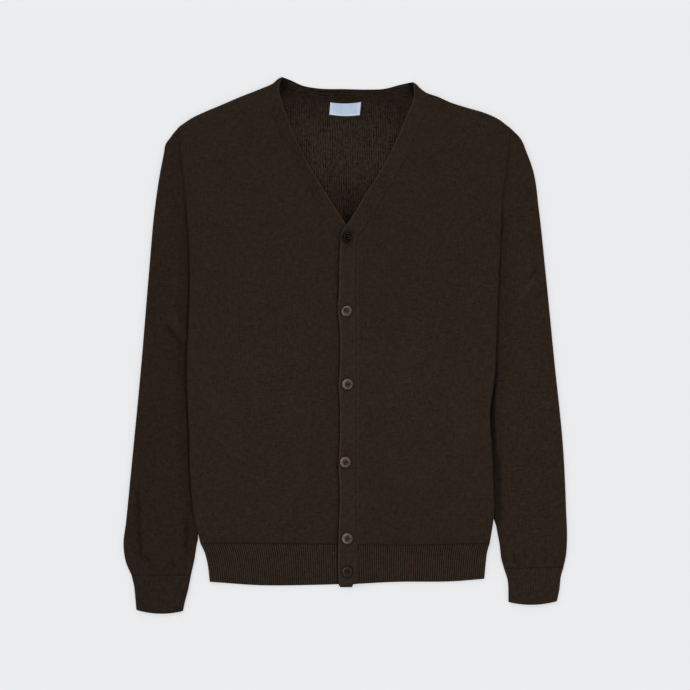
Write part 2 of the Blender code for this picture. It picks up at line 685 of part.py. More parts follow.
def make_cuff(name, outer_line, inner_line, mirrored):
    """A flattened ribbed tube, open at the hand."""
    first = bowed(inner_line.points[0], outer_line.points[0], 1.0)
    last = bowed(inner_line.points[-1], outer_line.points[-1], CUFF_SAG)
    even, crest = rib_stops(78.0, CUFF_RIB_PITCH)
    ends = np.array((0.006, 0.022))
    across = np.concatenate(([0], ends, even[1:-1], 1 - ends[::-1], [1]))
    crest = np.concatenate(((0, 0, 0), crest[1:-1], (0, 0, 0)))
    down = (0, 1)
    points, _ = patch(first, last, inner_line, outer_line, across, down)
    columns, count = len(across), len(points)
    sign = 1.0 if mirrored else -1.0
    radius = np.full(count, CUFF_STACK / 2)
    fall_out, tilt_out = line_fold(points, outer_line, np.ones(count), radius)
    fall_in, tilt_in = line_fold(points, inner_line, np.ones(count), radius)
    lean = sign * (np.sin(tilt_out) - np.sin(tilt_in))
    top = np.column_stack((points, CUFF_STACK - fall_out - fall_in))
    low = np.column_stack((points, fall_out + fall_in))
    top_in = top - RIB_WALL * leaning(lean, 1)
    low_in = low - RIB_WALL * leaning(lean, -1)
    top[:, 2] += np.tile(crest, len(down)) * RIB_RAISE
    return add_folded(name, (top, top_in), (low, low_in), len(down), columns, RIB_CLOTH,
                      closed=True)


def bowed(start, end, sag):
    """A line between two points that hangs down by sag in the middle."""
    t = np.linspace(0, 1, 15)[:, None]
    straight = np.array(start) * (1 - t) + np.array(end) * t
    return Line(straight - np.hstack((0 * t, sag * 4 * t * (1 - t))), smooth=False)


# Button profile from the middle of its face down to its underside: radius, height
BUTTON_PROFILE = ((0.0, 1.7), (4.0, 1.7), (5.7, 3.0), (7.8, 1.9), (7.2, 0.0), (0.0, 0.0))
BUTTON_SIDES = 16
HOLE_OFFSET = 1.6
HOLE_RADIUS = 0.8
HOLE_SIDES = 4


def make_button(name, x, y, color):
    """A four-hole button with a raised rim."""
    points, faces = [], []
    for radius, height in BUTTON_PROFILE:
        if radius == 0:
            points.append((0, 0, height))
            continue
        for k in range(BUTTON_SIDES):
            angle = 2 * math.pi * k / BUTTON_SIDES
            points.append((radius * math.cos(angle), radius * math.sin(angle), height))
    rings = len(BUTTON_PROFILE) - 2
    last = len(points) - 1
    for k in range(BUTTON_SIDES):
        step = (k + 1) % BUTTON_SIDES
        faces.append((0, 1 + k, 1 + step))
        for ring in range(rings - 1):
            a = 1 + ring * BUTTON_SIDES
            b = a + BUTTON_SIDES
            faces.append((a + k, b + k, b + step, a + step))
        a = 1 + (rings - 1) * BUTTON_SIDES
        faces.append((a + k, last, a + step))
    made = add_mesh(name, points, faces, color, roughness=0.35)
    made.location = (x * MM, y * MM, BUTTON_Z * MM)
    drill(made)
    return made


def drill(button):
    """Cut the four sewing holes."""
    shell = bmesh.new()
    for quarter in range(4):
        angle = math.pi / 4 + quarter * math.pi / 2
        made = bmesh.ops.create_cone(shell, cap_ends=True, segments=HOLE_SIDES,
                                     radius1=HOLE_RADIUS * MM, radius2=HOLE_RADIUS * MM,
                                     depth=4 * BUTTON_HEIGHT * MM)
        shift = (HOLE_OFFSET * math.cos(angle) * MM, HOLE_OFFSET * math.sin(angle) * MM, 0)
        bmesh.ops.translate(shell, verts=made["verts"], vec=shift)
    mesh = bpy.data.meshes.new(button.name + "_holes")
    shell.to_mesh(mesh)
    shell.free()
    cutter = bpy.data.objects.new(button.name + "_holes", mesh)
    cutter.location = button.location
    cutter.hide_render = True
    cutter.display_type = "WIRE"
    bpy.context.scene.collection.objects.link(cutter)
    cut = button.modifiers.new("holes", "BOOLEAN")
    cut.operation = "DIFFERENCE"
    cut.solver = "EXACT"
    cut.object = cutter


def make_label():
    """The bare woven label, sewn inside the back of the neck."""
    a, b, c, d = (np.array(corner, float) for corner in LABEL_CORNERS)
    across = np.linspace(0, 1, 6)
    down = np.linspace(0, 1, 3)
    rows = []
    for v in down:
        for u in across:
            flat = (1 - v) * ((1 - u) * a + u * b) + v * ((1 - u) * d + u * c)
            rows.append(flat - (0, 1.2 * 4 * u * (1 - u)))
    points = np.array(rows)
    over_band = smooth((points[:, 1] - 331) / 4)
    height = WALL + SEAM + (NECKBAND_WALL - WALL) * over_band
    low = np.column_stack((points, height))
    quads = grid_quads(len(down), len(across))
    return add_wall("neck_label", low + (0, 0, LABEL_WALL), low, quads, LABEL_CLOTH)


def clear_scene():
    for old in list(bpy.data.objects):
        bpy.data.objects.remove(old, do_unlink=True)


def main():
    clear_scene()
    make_back()
    make_front("front_panel_left", shoulder_left, side_left, V_SEAM_LEFT, False, False)
    make_front("front_panel_right", shoulder_right, side_right, V_SEAM_RIGHT, True, True)
    make_band("front_band_under", Line(V_EDGE_LEFT), V_SEAM_LEFT, False, False)
    make_band("front_band_over", swollen(Line(V_EDGE_RIGHT)), V_SEAM_RIGHT, True, True)
    make_neckband()
    make_back_rib()
    make_front_rib("hem_rib_front_left", rib_side_left, V_SEAM_LEFT, False, False)
    make_front_rib("hem_rib_front_right", rib_side_right, V_SEAM_RIGHT, True, True)
    make_sleeve("sleeve_left", SLEEVE_OUTER_LEFT, side_left, SLEEVE_INNER_LEFT, False)
    make_sleeve("sleeve_right", SLEEVE_OUTER_RIGHT, side_right, SLEEVE_INNER_RIGHT, True)
    make_cuff("cuff_left", Line(CUFF_OUTER_LEFT), Line(CUFF_INNER_LEFT), False)
    make_cuff("cuff_right", Line(CUFF_OUTER_RIGHT), Line(CUFF_INNER_RIGHT), True)
    make_label()
    for number, (x, y) in enumerate(BUTTONS, start=1):
        make_button(f"button_{number}", x, y, DARK_HORN if number == 1 else HORN)


main()
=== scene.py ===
"""A fine-knit V-neck cardigan, buttoned up and laid flat on its back.

Tables are in millimetres and meshes in metres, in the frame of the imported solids: +X to
the viewer's right, +Y to the neck, +Z up from the surface. "Left" and "right" are the
viewer's. Every piece of cloth is a closed wall on the form of its solid.
"""

import math

import bmesh
import bpy
import numpy as np
from mathutils import Matrix, Vector, noise


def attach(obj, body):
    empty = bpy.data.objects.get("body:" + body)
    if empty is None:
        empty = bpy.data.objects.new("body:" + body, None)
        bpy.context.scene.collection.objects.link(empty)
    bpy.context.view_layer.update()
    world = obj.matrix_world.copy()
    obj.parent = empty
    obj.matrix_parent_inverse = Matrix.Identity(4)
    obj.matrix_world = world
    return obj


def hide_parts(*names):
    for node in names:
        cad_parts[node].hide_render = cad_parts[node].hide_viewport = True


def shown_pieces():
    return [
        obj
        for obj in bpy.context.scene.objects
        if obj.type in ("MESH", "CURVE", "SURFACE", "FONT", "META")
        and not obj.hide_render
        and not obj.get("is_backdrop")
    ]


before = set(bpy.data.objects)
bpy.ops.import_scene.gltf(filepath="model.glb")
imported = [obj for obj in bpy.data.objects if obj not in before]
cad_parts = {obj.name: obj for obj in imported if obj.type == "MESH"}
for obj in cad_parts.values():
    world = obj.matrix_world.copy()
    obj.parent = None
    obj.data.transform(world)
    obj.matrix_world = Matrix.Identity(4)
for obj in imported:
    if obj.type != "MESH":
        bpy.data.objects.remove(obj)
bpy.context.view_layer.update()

bl_info = {
    "name": "V-Neck Cardigan",
    "version": (1, 0, 0),
    "blender": (4, 5, 0),
    "location": "3D View > Sidebar > Cardigan",
    "description": "Dresses the packed solids of a buttoned fine-knit cardigan",
    "category": "Object",
}

MM = 0.001
CLOTH_WALL = 1.6
FOLD_RADIUS = 3.0       # body's side and shoulder folds
PANEL_STACK = 4.1       # back and front panel in the middle of the body
BAND_BASE = 2.3         # underside of the band that lies below
BAND_WALL = 2.4         # the doubled front band
NECKBAND_WALL = 1.8
RIB_BASE = 2.35         # underside of the front hem rib
RIB_WALL = 2.0
OVERLAP_LIFT = 2.9      # how far the upper band is raised by the one below
LIFT_REACH = 32.0       # width over which the left front rises to the upper band
TUCKED_SLEEVE = 3.6     # thickness of the sleeve under the body
LOOSE_SLEEVE = 7.0      # thickness of the sleeve where it shows
CUFF_STACK = 6.2
BODY_OVER_SLEEVE = 4.2  # height of the body's underside over the tucked sleeve
RAMP = 60.0             # width over which the body comes down to the surface
RAMP_MARGIN = 25.0
RAMP_AIR = 1.2          # how far the front stands off the back on that slope
SEWN_TUCK = 5.0         # how far a sleeve's sewn edge reaches under the raised body
NECK_END_GAP = 0.5      # between the ends of back panel and neckband at the folds
BUTTON_Z = BAND_BASE + OVERLAP_LIFT + BAND_WALL + 0.3
BUTTONS = (             # x, y, turn of the holes, tilt across and along, sink, finish
    (3.4, 149.0, 20, 20, 2, 0.9, "charcoal"),
    (2.2, 47.2, 8, -9, -9, 1.5, "horn"),
    (3.5, -54.2, -6, 2, 0, 0, "horn"),
    (0.4, -161.7, 28, 1, 1, 0, "horn"),
    (3.0, -267.3, 34, 2, -2, 0, "horn"),
    (3.0, -313.2, 12, 1, 0, 0, "dark"),
)

# Outline of the body, from the neck down each side: x, y
SHOULDER_LEFT = ((-86.5, 371), (-91, 369.3), (-99.5, 362.3), (-115, 355.2),
                 (-146.5, 342.7), (-170, 332.6), (-195, 322.1), (-211.5, 314.2),
                 (-229, 302.5))
SHOULDER_RIGHT = ((93.5, 364), (98, 361.5), (103.5, 356), (112, 349.5), (128.5, 343.5),
                  (145, 336), (170, 328), (195, 320.5), (211.5, 313), (229, 300))
SIDE_LEFT = ((-229, 302.5), (-227.5, 270), (-223.5, 228), (-218.5, 180), (-215, 130),
             (-215, 60), (-217.5, 0), (-218.5, -50), (-215.5, -120), (-213, -193),
             (-208, -238), (-200, -274))
SIDE_RIGHT = ((229, 300), (226, 263), (218.5, 203), (214, 127), (211.5, 59), (209, 0),
              (207, -43), (200.5, -95), (203.5, -149), (205, -187), (205.8, -236),
              (200, -274))
RIB_SIDE_LEFT = ((-200, -274), (-195, -285), (-190.5, -301.5), (-187.2, -327.5))
RIB_SIDE_RIGHT = ((200, -274), (197, -285), (194.9, -301), (192.8, -323.3))
HEM_SEAM = ((-200, -274), (-100, -274.5), (0, -276), (100, -277), (200, -274))
HEM_EDGE = ((-187.2, -327.5), (-126, -332.4), (-40, -332.2), (20, -330.3), (70, -328.1),
            (156, -326.7), (192.8, -323.3))

# Neckline and bands: x, y
V_EDGE_LEFT = ((-86.5, 371), (-91, 356), (-86.5, 336), (-78.5, 313), (-48.5, 247.5),
               (-19, 199), (1.5, 167), (11, 148), (15, 130), (15, 0), (15, -319),
               (10, -335))
V_SEAM_LEFT = ((-115, 355.2), (-106, 336), (-98, 313), (-69, 258), (-38, 196),
               (-16, 160), (-8.5, 143), (-7, 125), (-7, 0), (-7, -335.2))
V_EDGE_RIGHT = ((93.5, 364), (95.5, 350), (82, 310), (57.5, 256.5), (27.5, 207.5),
                (4, 169), (-5.4, 155), (-6.6, 140), (-6.6, 0), (-7.6, -333))
V_SEAM_RIGHT = ((112, 349.5), (114, 340), (101, 300), (76, 245), (47, 196),
                (27, 163.5), (18, 150), (16.5, 130), (16.5, 0), (16.5, -250), (19, -330))
NECK_EDGE = ((-86.5, 371), (-77.5, 367.6), (-58, 359), (-38.5, 355.5), (0, 354.4),
             (29, 353.8), (54, 354.7), (79, 361), (93.5, 364))
NECK_SEAM = ((-115, 355.2), (-92, 347), (-68, 342), (-36, 337), (0, 335.5), (36, 337),
             (66, 341), (92, 345), (112, 349.5))
BAND_WAVE = 2.4         # how far the upper band's edge swells beside each button
BAND_WAVE_REACH = 20.0

# Sleeves and cuffs: x, y
SLEEVE_OUTER_LEFT = ((-232, 299.4), (-236.6, 294.2), (-242.8, 285.8), (-248.5, 277.3),
                     (-250.4, 266.5), (-255.4, 241), (-263.4, 187), (-271, 104),
                     (-281.4, -21), (-297.3, -187), (-303, -245), (-306.5, -277),
                     (-303, -301), (-295.5, -318.5))
SLEEVE_OUTER_RIGHT = ((232, 297.5), (235.6, 294), (242.4, 286.8), (246.4, 279.8),
                      (249.6, 271.3), (260.2, 242), (268.3, 187), (277.2, 104),
                      (289.6, -21), (302, -145), (306, -228), (307.2, -271), (306, -290),
                      (302.4, -307.5))
TUCK = ((320, -75), (196, -75), (142, -8), (112, 0), (80, 30), (40, 58), (0, 74),
        (-40, 76), (-90, 60), (-140, 40), (-190, 20), (-225, 5), (-245, -10), (-290, -75),
        (-400, -75))    # y, how far the sleeve's inner fold reaches under the body
SLEEVE_INNER_LEFT = ((-203.4, -262), (-203.2, -268), (-205.2, -277), (-208, -296),
                     (-213, -318.5))
SLEEVE_INNER_RIGHT = ((209, -250), (213.7, -275), (216, -296), (220, -309.5))
CUFF_OUTER_LEFT = ((-295.5, -318.5), (-292, -333), (-290.2, -350), (-288.7, -366.4))
CUFF_INNER_LEFT = ((-213, -318.5), (-217.3, -340), (-221.8, -357), (-224, -368))
CUFF_OUTER_RIGHT = ((302.4, -307.5), (298.8, -320), (296.9, -337), (293.4, -354.3))
CUFF_INNER_RIGHT = ((220, -309.5), (224.8, -325), (226, -345), (226, -355.5))
CUFF_SAG = 4.4          # how far a cuff's open end bows down
GROOVE_RIGHT = ((-30, 0), (-60, 8), (-140, 8), (-160, 0))       # y, width

LABEL_CORNERS = ((-20.9, 336.3), (22.9, 336.8), (20.9, 317.1), (-22.4, 318))
LABEL_SAG = 1.9
LABEL_WIDTH = 43
LABEL_DEPTH = 19
LABEL_ON_BAND = 331     # y above which the label lies on the neckband
LABEL_AIR = 0.35

# Nominal lengths, which set how close the rows and columns of a grid lie
BACK_LENGTH = 600
FRONT_LENGTH = 640
FRONT_WIDTHS = (200, 190)       # on the viewer's left and right
BAND_WIDTH = 24
NECKBAND_DEPTH = 18
HEM_DEPTH = 53
CUFF_WIDTH = 78
CUFF_DEPTH = 48


# ---------------------------------------------------------------- lines and folds
class Line:
    """A smooth line through the rows of a table, read by the share of its length."""

    def __init__(self, rows, smooth=True):
        knots = np.array(rows, float)
        self.points = self._rounded(knots) if smooth else knots
        steps = np.linalg.norm(np.diff(self.points, axis=0), axis=1)
        self.reach = np.concatenate(([0.0], np.cumsum(steps)))
        self.length = self.reach[-1]

    @staticmethod
    def _rounded(knots, steps=12):
        gaps = np.linalg.norm(np.diff(knots, axis=0), axis=1)
        chord = np.diff(knots, axis=0) / gaps[:, None]
        slopes = [chord[0]]
        for i in range(1, len(knots) - 1):
            weighed = chord[i - 1] * gaps[i] + chord[i] * gaps[i - 1]
            slopes.append(weighed / (gaps[i - 1] + gaps[i]))
        slopes.append(chord[-1])
        out = []
        for i, gap in enumerate(gaps):
            t = np.linspace(0, 1, steps, endpoint=False)[:, None]
            out.append((2 * t**3 - 3 * t**2 + 1) * knots[i]
                       + (t**3 - 2 * t**2 + t) * slopes[i] * gap
                       + (3 * t**2 - 2 * t**3) * knots[i + 1]
                       + (t**3 - t**2) * slopes[i + 1] * gap)
        out.append(knots[-1:])
        return np.vstack(out)

    def at(self, shares):
        """Points at shares of the length."""
        along = np.clip(np.asarray(shares, float), 0, 1) * self.length
        return np.column_stack([np.interp(along, self.reach, column)
                                for column in self.points.T])

    def share_near(self, point):
        """Share of the length at the place nearest to a point."""
        nearest, part, _ = nearest_place(self, np.array([point], float))
        step = self.reach[nearest[0] + 1] - self.reach[nearest[0]]
        return (self.reach[nearest[0]] + part[0] * step) / self.length

    def between(self, start, end):
        """The stretch from one share to another, backwards when end is the smaller."""
        low, high = min(start, end), max(start, end)
        own = self.reach / self.length
        own = own[(own > low + 1e-6) & (own < high - 1e-6)]
        stretch = self.at(np.concatenate(([low], own, [high])))
        return Line(stretch if start < end else stretch[::-1], smooth=False)

    def moved(self, dx):
        """The same line, shifted along X."""
        return Line(self.points + (dx, 0), smooth=False)

    def x_at(self, y):
        """X of a line that runs down, at each y."""
        return np.interp(-np.asarray(y), -self.points[:, 1], self.points[:, 0])


def nearest_place(line, points):
    """For each point, the line's nearest run, the place along it and the distance."""
    start, span = line.points[:-1], np.diff(line.points, axis=0)
    size = np.maximum((span**2).sum(1), 1e-9)
    found = []
    for block in np.array_split(points, max(1, len(points) // 3000)):
        offset = block[:, None, :] - start[None]
        part = np.clip((offset * span).sum(2) / size, 0, 1)
        gap = np.linalg.norm(offset - part[..., None] * span, axis=2)
        nearest = gap.argmin(1)
        rows = np.arange(len(block))
        found.append((nearest, part[rows, nearest], gap[rows, nearest]))
    return tuple(np.concatenate(column) for column in zip(*found))


def joined(*lines):
    """One line through several, end to end."""
    rows = [lines[0].points]
    for line in lines[1:]:
        touching = np.linalg.norm(rows[-1][-1] - line.points[0]) < 1e-6
        rows.append(line.points[1:] if touching else line.points)
    return Line(np.vstack(rows), smooth=False)


def smooth(value):
    """0 below 0, 1 above 1 and an even rise between."""
    t = np.clip(value, 0, 1)
    return t * t * (3 - 2 * t)


def table_at(table, key, column=1):
    """A column of a table, read between its rows by the first one."""
    rows = np.array(table, float)
    order = np.argsort(rows[:, 0])
    return np.interp(key, rows[order, 0], rows[order, column])


class Rim:
    """One side's outline, with how far the cloth curls over at each place."""

    def __init__(self, shoulder, side, rib_side, inside):
        self.line = joined(shoulder, side, rib_side)
        corner = shoulder.length
        hip = corner + side.length * side.share_near((side.x_at(0.0), 0.0))
        arc = (0, corner - 12, corner + 14, corner + 150, hip - 60, hip + 30,
               self.line.length)
        self.curl = np.interp(self.line.reach, arc, (1, 1, 0.25, 0.25, 0.45, 1, 1))
        tangent = np.gradient(self.line.points, axis=0)
        normal = np.column_stack((tangent[:, 1], -tangent[:, 0]))
        normal /= np.linalg.norm(normal, axis=1)[:, None]
        middle = len(normal) // 2
        if np.dot(normal[middle], np.array(inside) - self.line.points[middle]) > 0:
            normal = -normal
        self.outward = normal

    def read(self, points):
        """Distance from the outline, its outward direction and its curl."""
        nearest, t, gap = nearest_place(self.line, points)
        outward = (self.outward[nearest] * (1 - t)[:, None]
                   + self.outward[nearest + 1] * t[:, None])
        outward /= np.linalg.norm(outward, axis=1)[:, None]
        curl = self.curl[nearest] * (1 - t) + self.curl[nearest + 1] * t
        return gap, outward, curl


def turned(distance, curl, radius):
    """Reach of a fold, and the fall and tilt of its surface at a distance inside."""
    curl = np.maximum(curl, 1e-3)
    bend = radius / curl
    angle = curl * math.pi / 2
    reach = bend * np.sin(angle)
    inset = np.clip(reach - distance, 0, None)
    tilt = np.arcsin(np.clip(inset / bend, 0, 1))
    return reach, bend * (1 - np.cos(tilt)), tilt


def back_curl(curl):
    """The back curls up only where the front is folded well over."""
    return np.clip((curl - 0.45) / 0.55, 0, 1)


def edge_stack(curl, wall):
    """Height of the folded body at its edge, so that front and back meet at the seam."""
    zero = np.zeros_like(curl)
    _, front_fall, front_tilt = turned(zero, curl, FOLD_RADIUS)
    _, back_rise, back_tilt = turned(zero, back_curl(curl), FOLD_RADIUS)
    return front_fall + back_rise + wall * (np.cos(front_tilt) + np.cos(back_tilt))


shoulder_left, shoulder_right = Line(SHOULDER_LEFT), Line(SHOULDER_RIGHT)
side_left, side_right = Line(SIDE_LEFT), Line(SIDE_RIGHT)
rib_side_left, rib_side_right = Line(RIB_SIDE_LEFT), Line(RIB_SIDE_RIGHT)
rim_left = Rim(shoulder_left, side_left, rib_side_left, (0, 0))
rim_right = Rim(shoulder_right, side_right, rib_side_right, (0, 0))
hem_seam, hem_edge = Line(HEM_SEAM), Line(HEM_EDGE)


def read_rims(points):
    """Distance from the nearer outline, its outward direction and its curl."""
    left, right = rim_left.read(points), rim_right.read(points)
    nearer = left[0] < right[0]
    return [np.where(nearer if one.ndim == 1 else nearer[:, None], one, other)
            for one, other in zip(left, right)]


def base_height(points):
    """How high the body's underside lies: on the surface, or over a tucked sleeve."""
    x, y = points[:, 0], points[:, 1]
    tuck = table_at(TUCK, y)
    inside = np.maximum(side_left.x_at(y) + tuck - x, x - (side_right.x_at(y) - tuck))
    return BODY_OVER_SLEEVE * smooth((inside + RAMP_MARGIN + RAMP) / RAMP)


def overlap_lift(points):
    """How far a layer is raised by the lower band, up to where the V opens."""
    x, y = points[:, 0], points[:, 1]
    return (OVERLAP_LIFT * smooth((LIFT_REACH + 20 - x) / LIFT_REACH)
            * smooth((222 - y) / 44))


def slope_air(points):
    """How far the front stands off the back where both slope down to the surface."""
    share = base_height(points) / BODY_OVER_SLEEVE
    return RAMP_AIR * 4 * share * (1 - share)


def upper_surface(points, stack, wall, lifted=False):
    """Outer and inner points of a layer that faces up, folded down at the outline."""
    distance, outward, curl = read_rims(points)
    reach, fall, tilt = turned(distance, curl, FOLD_RADIUS)
    away = np.clip(distance - reach, 0, None)
    rise = np.maximum(edge_stack(curl, CLOTH_WALL), stack) - stack
    top = (base_height(points) + slope_air(points) + stack
           + rise * np.exp(-(away / 18)**2) - fall)
    if lifted:
        top = top + overlap_lift(points)
    normal = np.column_stack((outward * np.sin(tilt)[:, None], np.cos(tilt)))
    outer = np.column_stack((points, top))
    return outer, outer - wall * normal


def lower_surface(points, wall):
    """Outer and inner points of a layer that faces down, folded up at the outline."""
    distance, outward, curl = read_rims(points)
    _, rise, tilt = turned(distance, back_curl(curl), FOLD_RADIUS)
    normal = np.column_stack((outward * np.sin(tilt)[:, None], -np.cos(tilt)))
    outer = np.column_stack((points, base_height(points) + rise))
    return outer, outer - wall * normal


# ---------------------------------------------------------------- grids and walls
def patch(top, bottom, left, right, across, down):
    """Points of a grid between four lines, row by row from the top."""
    u, v = np.asarray(across, float), np.asarray(down, float)
    t, b, le, r = top.at(u), bottom.at(u), left.at(v), right.at(v)
    uu, vv = np.meshgrid(u, v)
    grid = ((1 - vv)[..., None] * t[None] + vv[..., None] * b[None]
            + (1 - uu)[..., None] * le[:, None] + uu[..., None] * r[:, None]
            - ((1 - uu) * (1 - vv))[..., None] * t[0] - (uu * (1 - vv))[..., None] * t[-1]
            - ((1 - uu) * vv)[..., None] * b[0] - (uu * vv)[..., None] * b[-1])
    return grid


def quads_of(rows, columns):
    """Corners of each cell of a grid, counted row by row."""
    i, j = np.meshgrid(np.arange(rows - 1), np.arange(columns - 1), indexing="ij")
    first = (i * columns + j).ravel()
    return np.column_stack((first, first + 1, first + columns + 1, first + columns))


def stops(length, near, step, near_end=None):
    """Shares of a length: close stops at both ends, and even ones about step apart."""
    near = np.asarray(near, float)
    far = length - (near if near_end is None else np.asarray(near_end, float))[::-1]
    count = max(1, round((far[0] - near[-1]) / step))
    middle = np.linspace(near[-1], far[0], count + 1)
    return np.concatenate((near, middle[1:], far[1:])) / length


def edge_distances(grid):
    """How far each point lies from its grid's top, bottom, left and right edge."""
    down = np.linalg.norm(np.diff(grid, axis=0), axis=2)
    across = np.linalg.norm(np.diff(grid, axis=1), axis=2)
    down = np.vstack((np.zeros((1, grid.shape[1])), np.cumsum(down, axis=0)))
    across = np.hstack((np.zeros((grid.shape[0], 1)), np.cumsum(across, axis=1)))
    return down, down[-1:] - down, across, across[:, -1:] - across


def edge_rounding(grid, radii):
    """Fall of a grid's surface toward its top, bottom, left and right edge."""
    fall = np.zeros(grid.shape[:2])
    for distance, radius in zip(edge_distances(grid), radii):
        if radius:
            inset = np.clip(radius - distance, 0, radius)
            fall = np.maximum(fall, radius - np.sqrt(radius**2 - inset**2))
    return fall.ravel()


def still_at_edges(grid, reach):
    """1 in the middle of a grid and 0 at its edges, where it is sewn or folded."""
    return smooth(np.minimum.reduce(edge_distances(grid)) / reach).ravel()


def thinned(sides, fall, up=1):
    """Both sides of a wall, brought together by fall; up is -1 where it faces down."""
    outer, inner = sides
    outer[:, 2] -= up * fall
    inner[:, 2] += up * fall
    return outer, inner


def in_order(mirrored, inner, outer):
    """Two things from left to right, on the viewer's right or else left."""
    return (inner, outer) if mirrored else (outer, inner)


FOLD_STOPS = (0, 0.2, 0.5, 0.9, 1.4, 2.0, 2.6, 3.2, 4.2, 5.6, 7.6, 10)
EDGE_STOPS = (0, 0.08, 0.25, 0.55, 1.0, 1.8, 3.2)
RIB_STOPS = (0, 0.12, 0.35, 0.7, 1.2, 2.0)
GRID_STEP = 3.4
BAND_STEP = 2.4
BAND_STOPS = (0, 0.1, 0.3, 0.6, 0.9, 1.2, 1.6, 2.2)
NECKBAND_STOPS = (0, 0.1, 0.3, 0.6, 0.9, 1.4)
BAND_SIDE_FADE = 10     # how far from the outline a band's rounded edge begins


def added(name, data):
    """An object with the data, in the scene."""
    made = bpy.data.objects.new(name, data)
    bpy.context.scene.collection.objects.link(made)
    return made


def mesh_of(name, shell):
    """A mesh from a bmesh, which ends with it."""
    mesh = bpy.data.meshes.new(name)
    shell.to_mesh(mesh)
    shell.free()
    return mesh


def applied(piece, modifier):
    """The modified shape as a plain mesh in place of the piece's own."""
    bpy.context.view_layer.update()
    ready = piece.evaluated_get(bpy.context.evaluated_depsgraph_get())
    mesh = bpy.data.meshes.new_from_object(ready)
    piece.modifiers.remove(modifier)
    old, piece.data = piece.data, mesh
    bpy.data.meshes.remove(old)


def set_values(mesh, name, values):
    """An attribute with one value for each point."""
    layer = mesh.attributes.new(name, "FLOAT", "POINT")
    layer.data.foreach_set("value", np.asarray(values, np.float32))


def wall_mesh(name, outer, inner, quads, coords, attributes=(), tone=1.0):
    """A closed wall between two sheets of points, in metres, with its knit map."""
    # The tone that each point carries is painted light and shade in the cloth's colour
    tone = np.tile(tones(name, outer) * tone, 2)
    count = len(outer)
    used = {side for a, b, c, d in quads.tolist()
            for side in ((a, b), (b, c), (c, d), (d, a))}
    rim = np.array([(a, b) for a, b in used if (b, a) not in used])
    rim = rim[np.lexsort((rim[:, 1], rim[:, 0]))]
    sides = np.column_stack((rim[:, 1], rim[:, 0], count + rim[:, 0], count + rim[:, 1]))
    every = np.vstack((quads, count + quads[:, ::-1], sides))
    mesh = bpy.data.meshes.new(name)
    mesh.from_pydata((np.vstack((outer, inner)) * MM).tolist(), [], every.tolist())
    layer = mesh.uv_layers.new(name="knit")
    both = np.vstack((coords, coords)) * MM
    layer.data.foreach_set("uv", both[every.ravel()].astype(np.float32).ravel())
    kinds = np.repeat((0, 1, 0), (len(quads), len(quads), len(sides)))
    mesh.polygons.foreach_set("material_index", kinds.astype(np.int32))
    mesh.polygons.foreach_set("use_smooth", np.ones(len(every), bool))
    for label, values in (*attributes, ("tone", tone)):
        set_values(mesh, label, values)
    shell = bmesh.new()
    shell.from_mesh(mesh)
    bmesh.ops.recalc_face_normals(shell, faces=shell.faces)
    shell.to_mesh(mesh)
    shell.free()
    return added(name, mesh)


def finished(piece, node, materials):
    """What every piece gets: its finish and its body; the solid that it stands for is hidden.
    """
    for made in materials:
        piece.data.materials.append(made)
    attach(piece, "root")
    if node:
        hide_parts(node)
    return piece


# ---------------------------------------------------------------- creases
CREASES = (             # piece, x and y at both ends, half-width, depth (+ is a trough)
    ("sleeve_right", 267.7, 109.8, 246.2, 76.8, 5.0, 0.9),
    ("sleeve_right", 262, 96, 238, 60, 11.0, -0.7),
    ("sleeve_right", 248.9, -285, 250, -298, 4.0, 0.9),
    ("sleeve_right", 260.7, -292, 261.5, -305, 4.0, 0.8),
    ("sleeve_right", 279, -282, 276, -303, 5.0, 0.7),
    ("sleeve_right", 232, -284, 236, -304, 4.5, 0.8),
    ("sleeve_left", -251.7, 34.6, -218.5, -9.7, 5.5, 1.0),
    ("sleeve_left", -246, 46, -214, 4, 12.0, -0.7),
    ("sleeve_left", -287.7, -185, -281.5, -312, 6.0, 1.0),
    ("sleeve_left", -279, -285, -262.5, -314, 4.5, 0.9),
    ("sleeve_left", -219, -228, -219, -297, 7.0, 0.9),
    ("sleeve_left", -240, -290, -236, -312, 4.5, 0.7),
    ("front_left", -196, -236, -150, -262, 9.0, 0.4),
    ("front_right", 190, -240, 150, -262, 9.0, 0.4),
    ("front_right", 196, -160, 176, -225, 9.0, 0.45),
    ("front_left", -190, 225, -160, 170, 12.0, 0.45),
    ("front_right", 190, 225, 160, 165, 12.0, 0.45),
)
WAVE_SIZE = 95.0        # distance from one slow wave of the cloth to the next
WAVE_HEIGHT = 0.55
EVERYWHERE = 9e3


def crease_at(points, ends, width):
    """1 along a crease from x1, y1 to x2, y2, and 0 away from it."""
    fold = Line((ends[:2], ends[2:]), smooth=False)
    _, part, gap = nearest_place(fold, points[:, :2])
    return np.exp(-(gap / width)**2) * smooth(part / 0.3) * smooth((1 - part) / 0.3)


def waves(piece, points):
    """Rise of the cloth at each point: slow waves of the knit, and its creases."""
    rise = np.array([noise.noise(Vector((x / WAVE_SIZE, y / (1.6 * WAVE_SIZE), 3.7)))
                     for x, y in points[:, :2]]) * WAVE_HEIGHT
    for name, *ends, width, depth in CREASES:
        if name == piece:
            rise -= depth * crease_at(points, ends, width)
    return rise
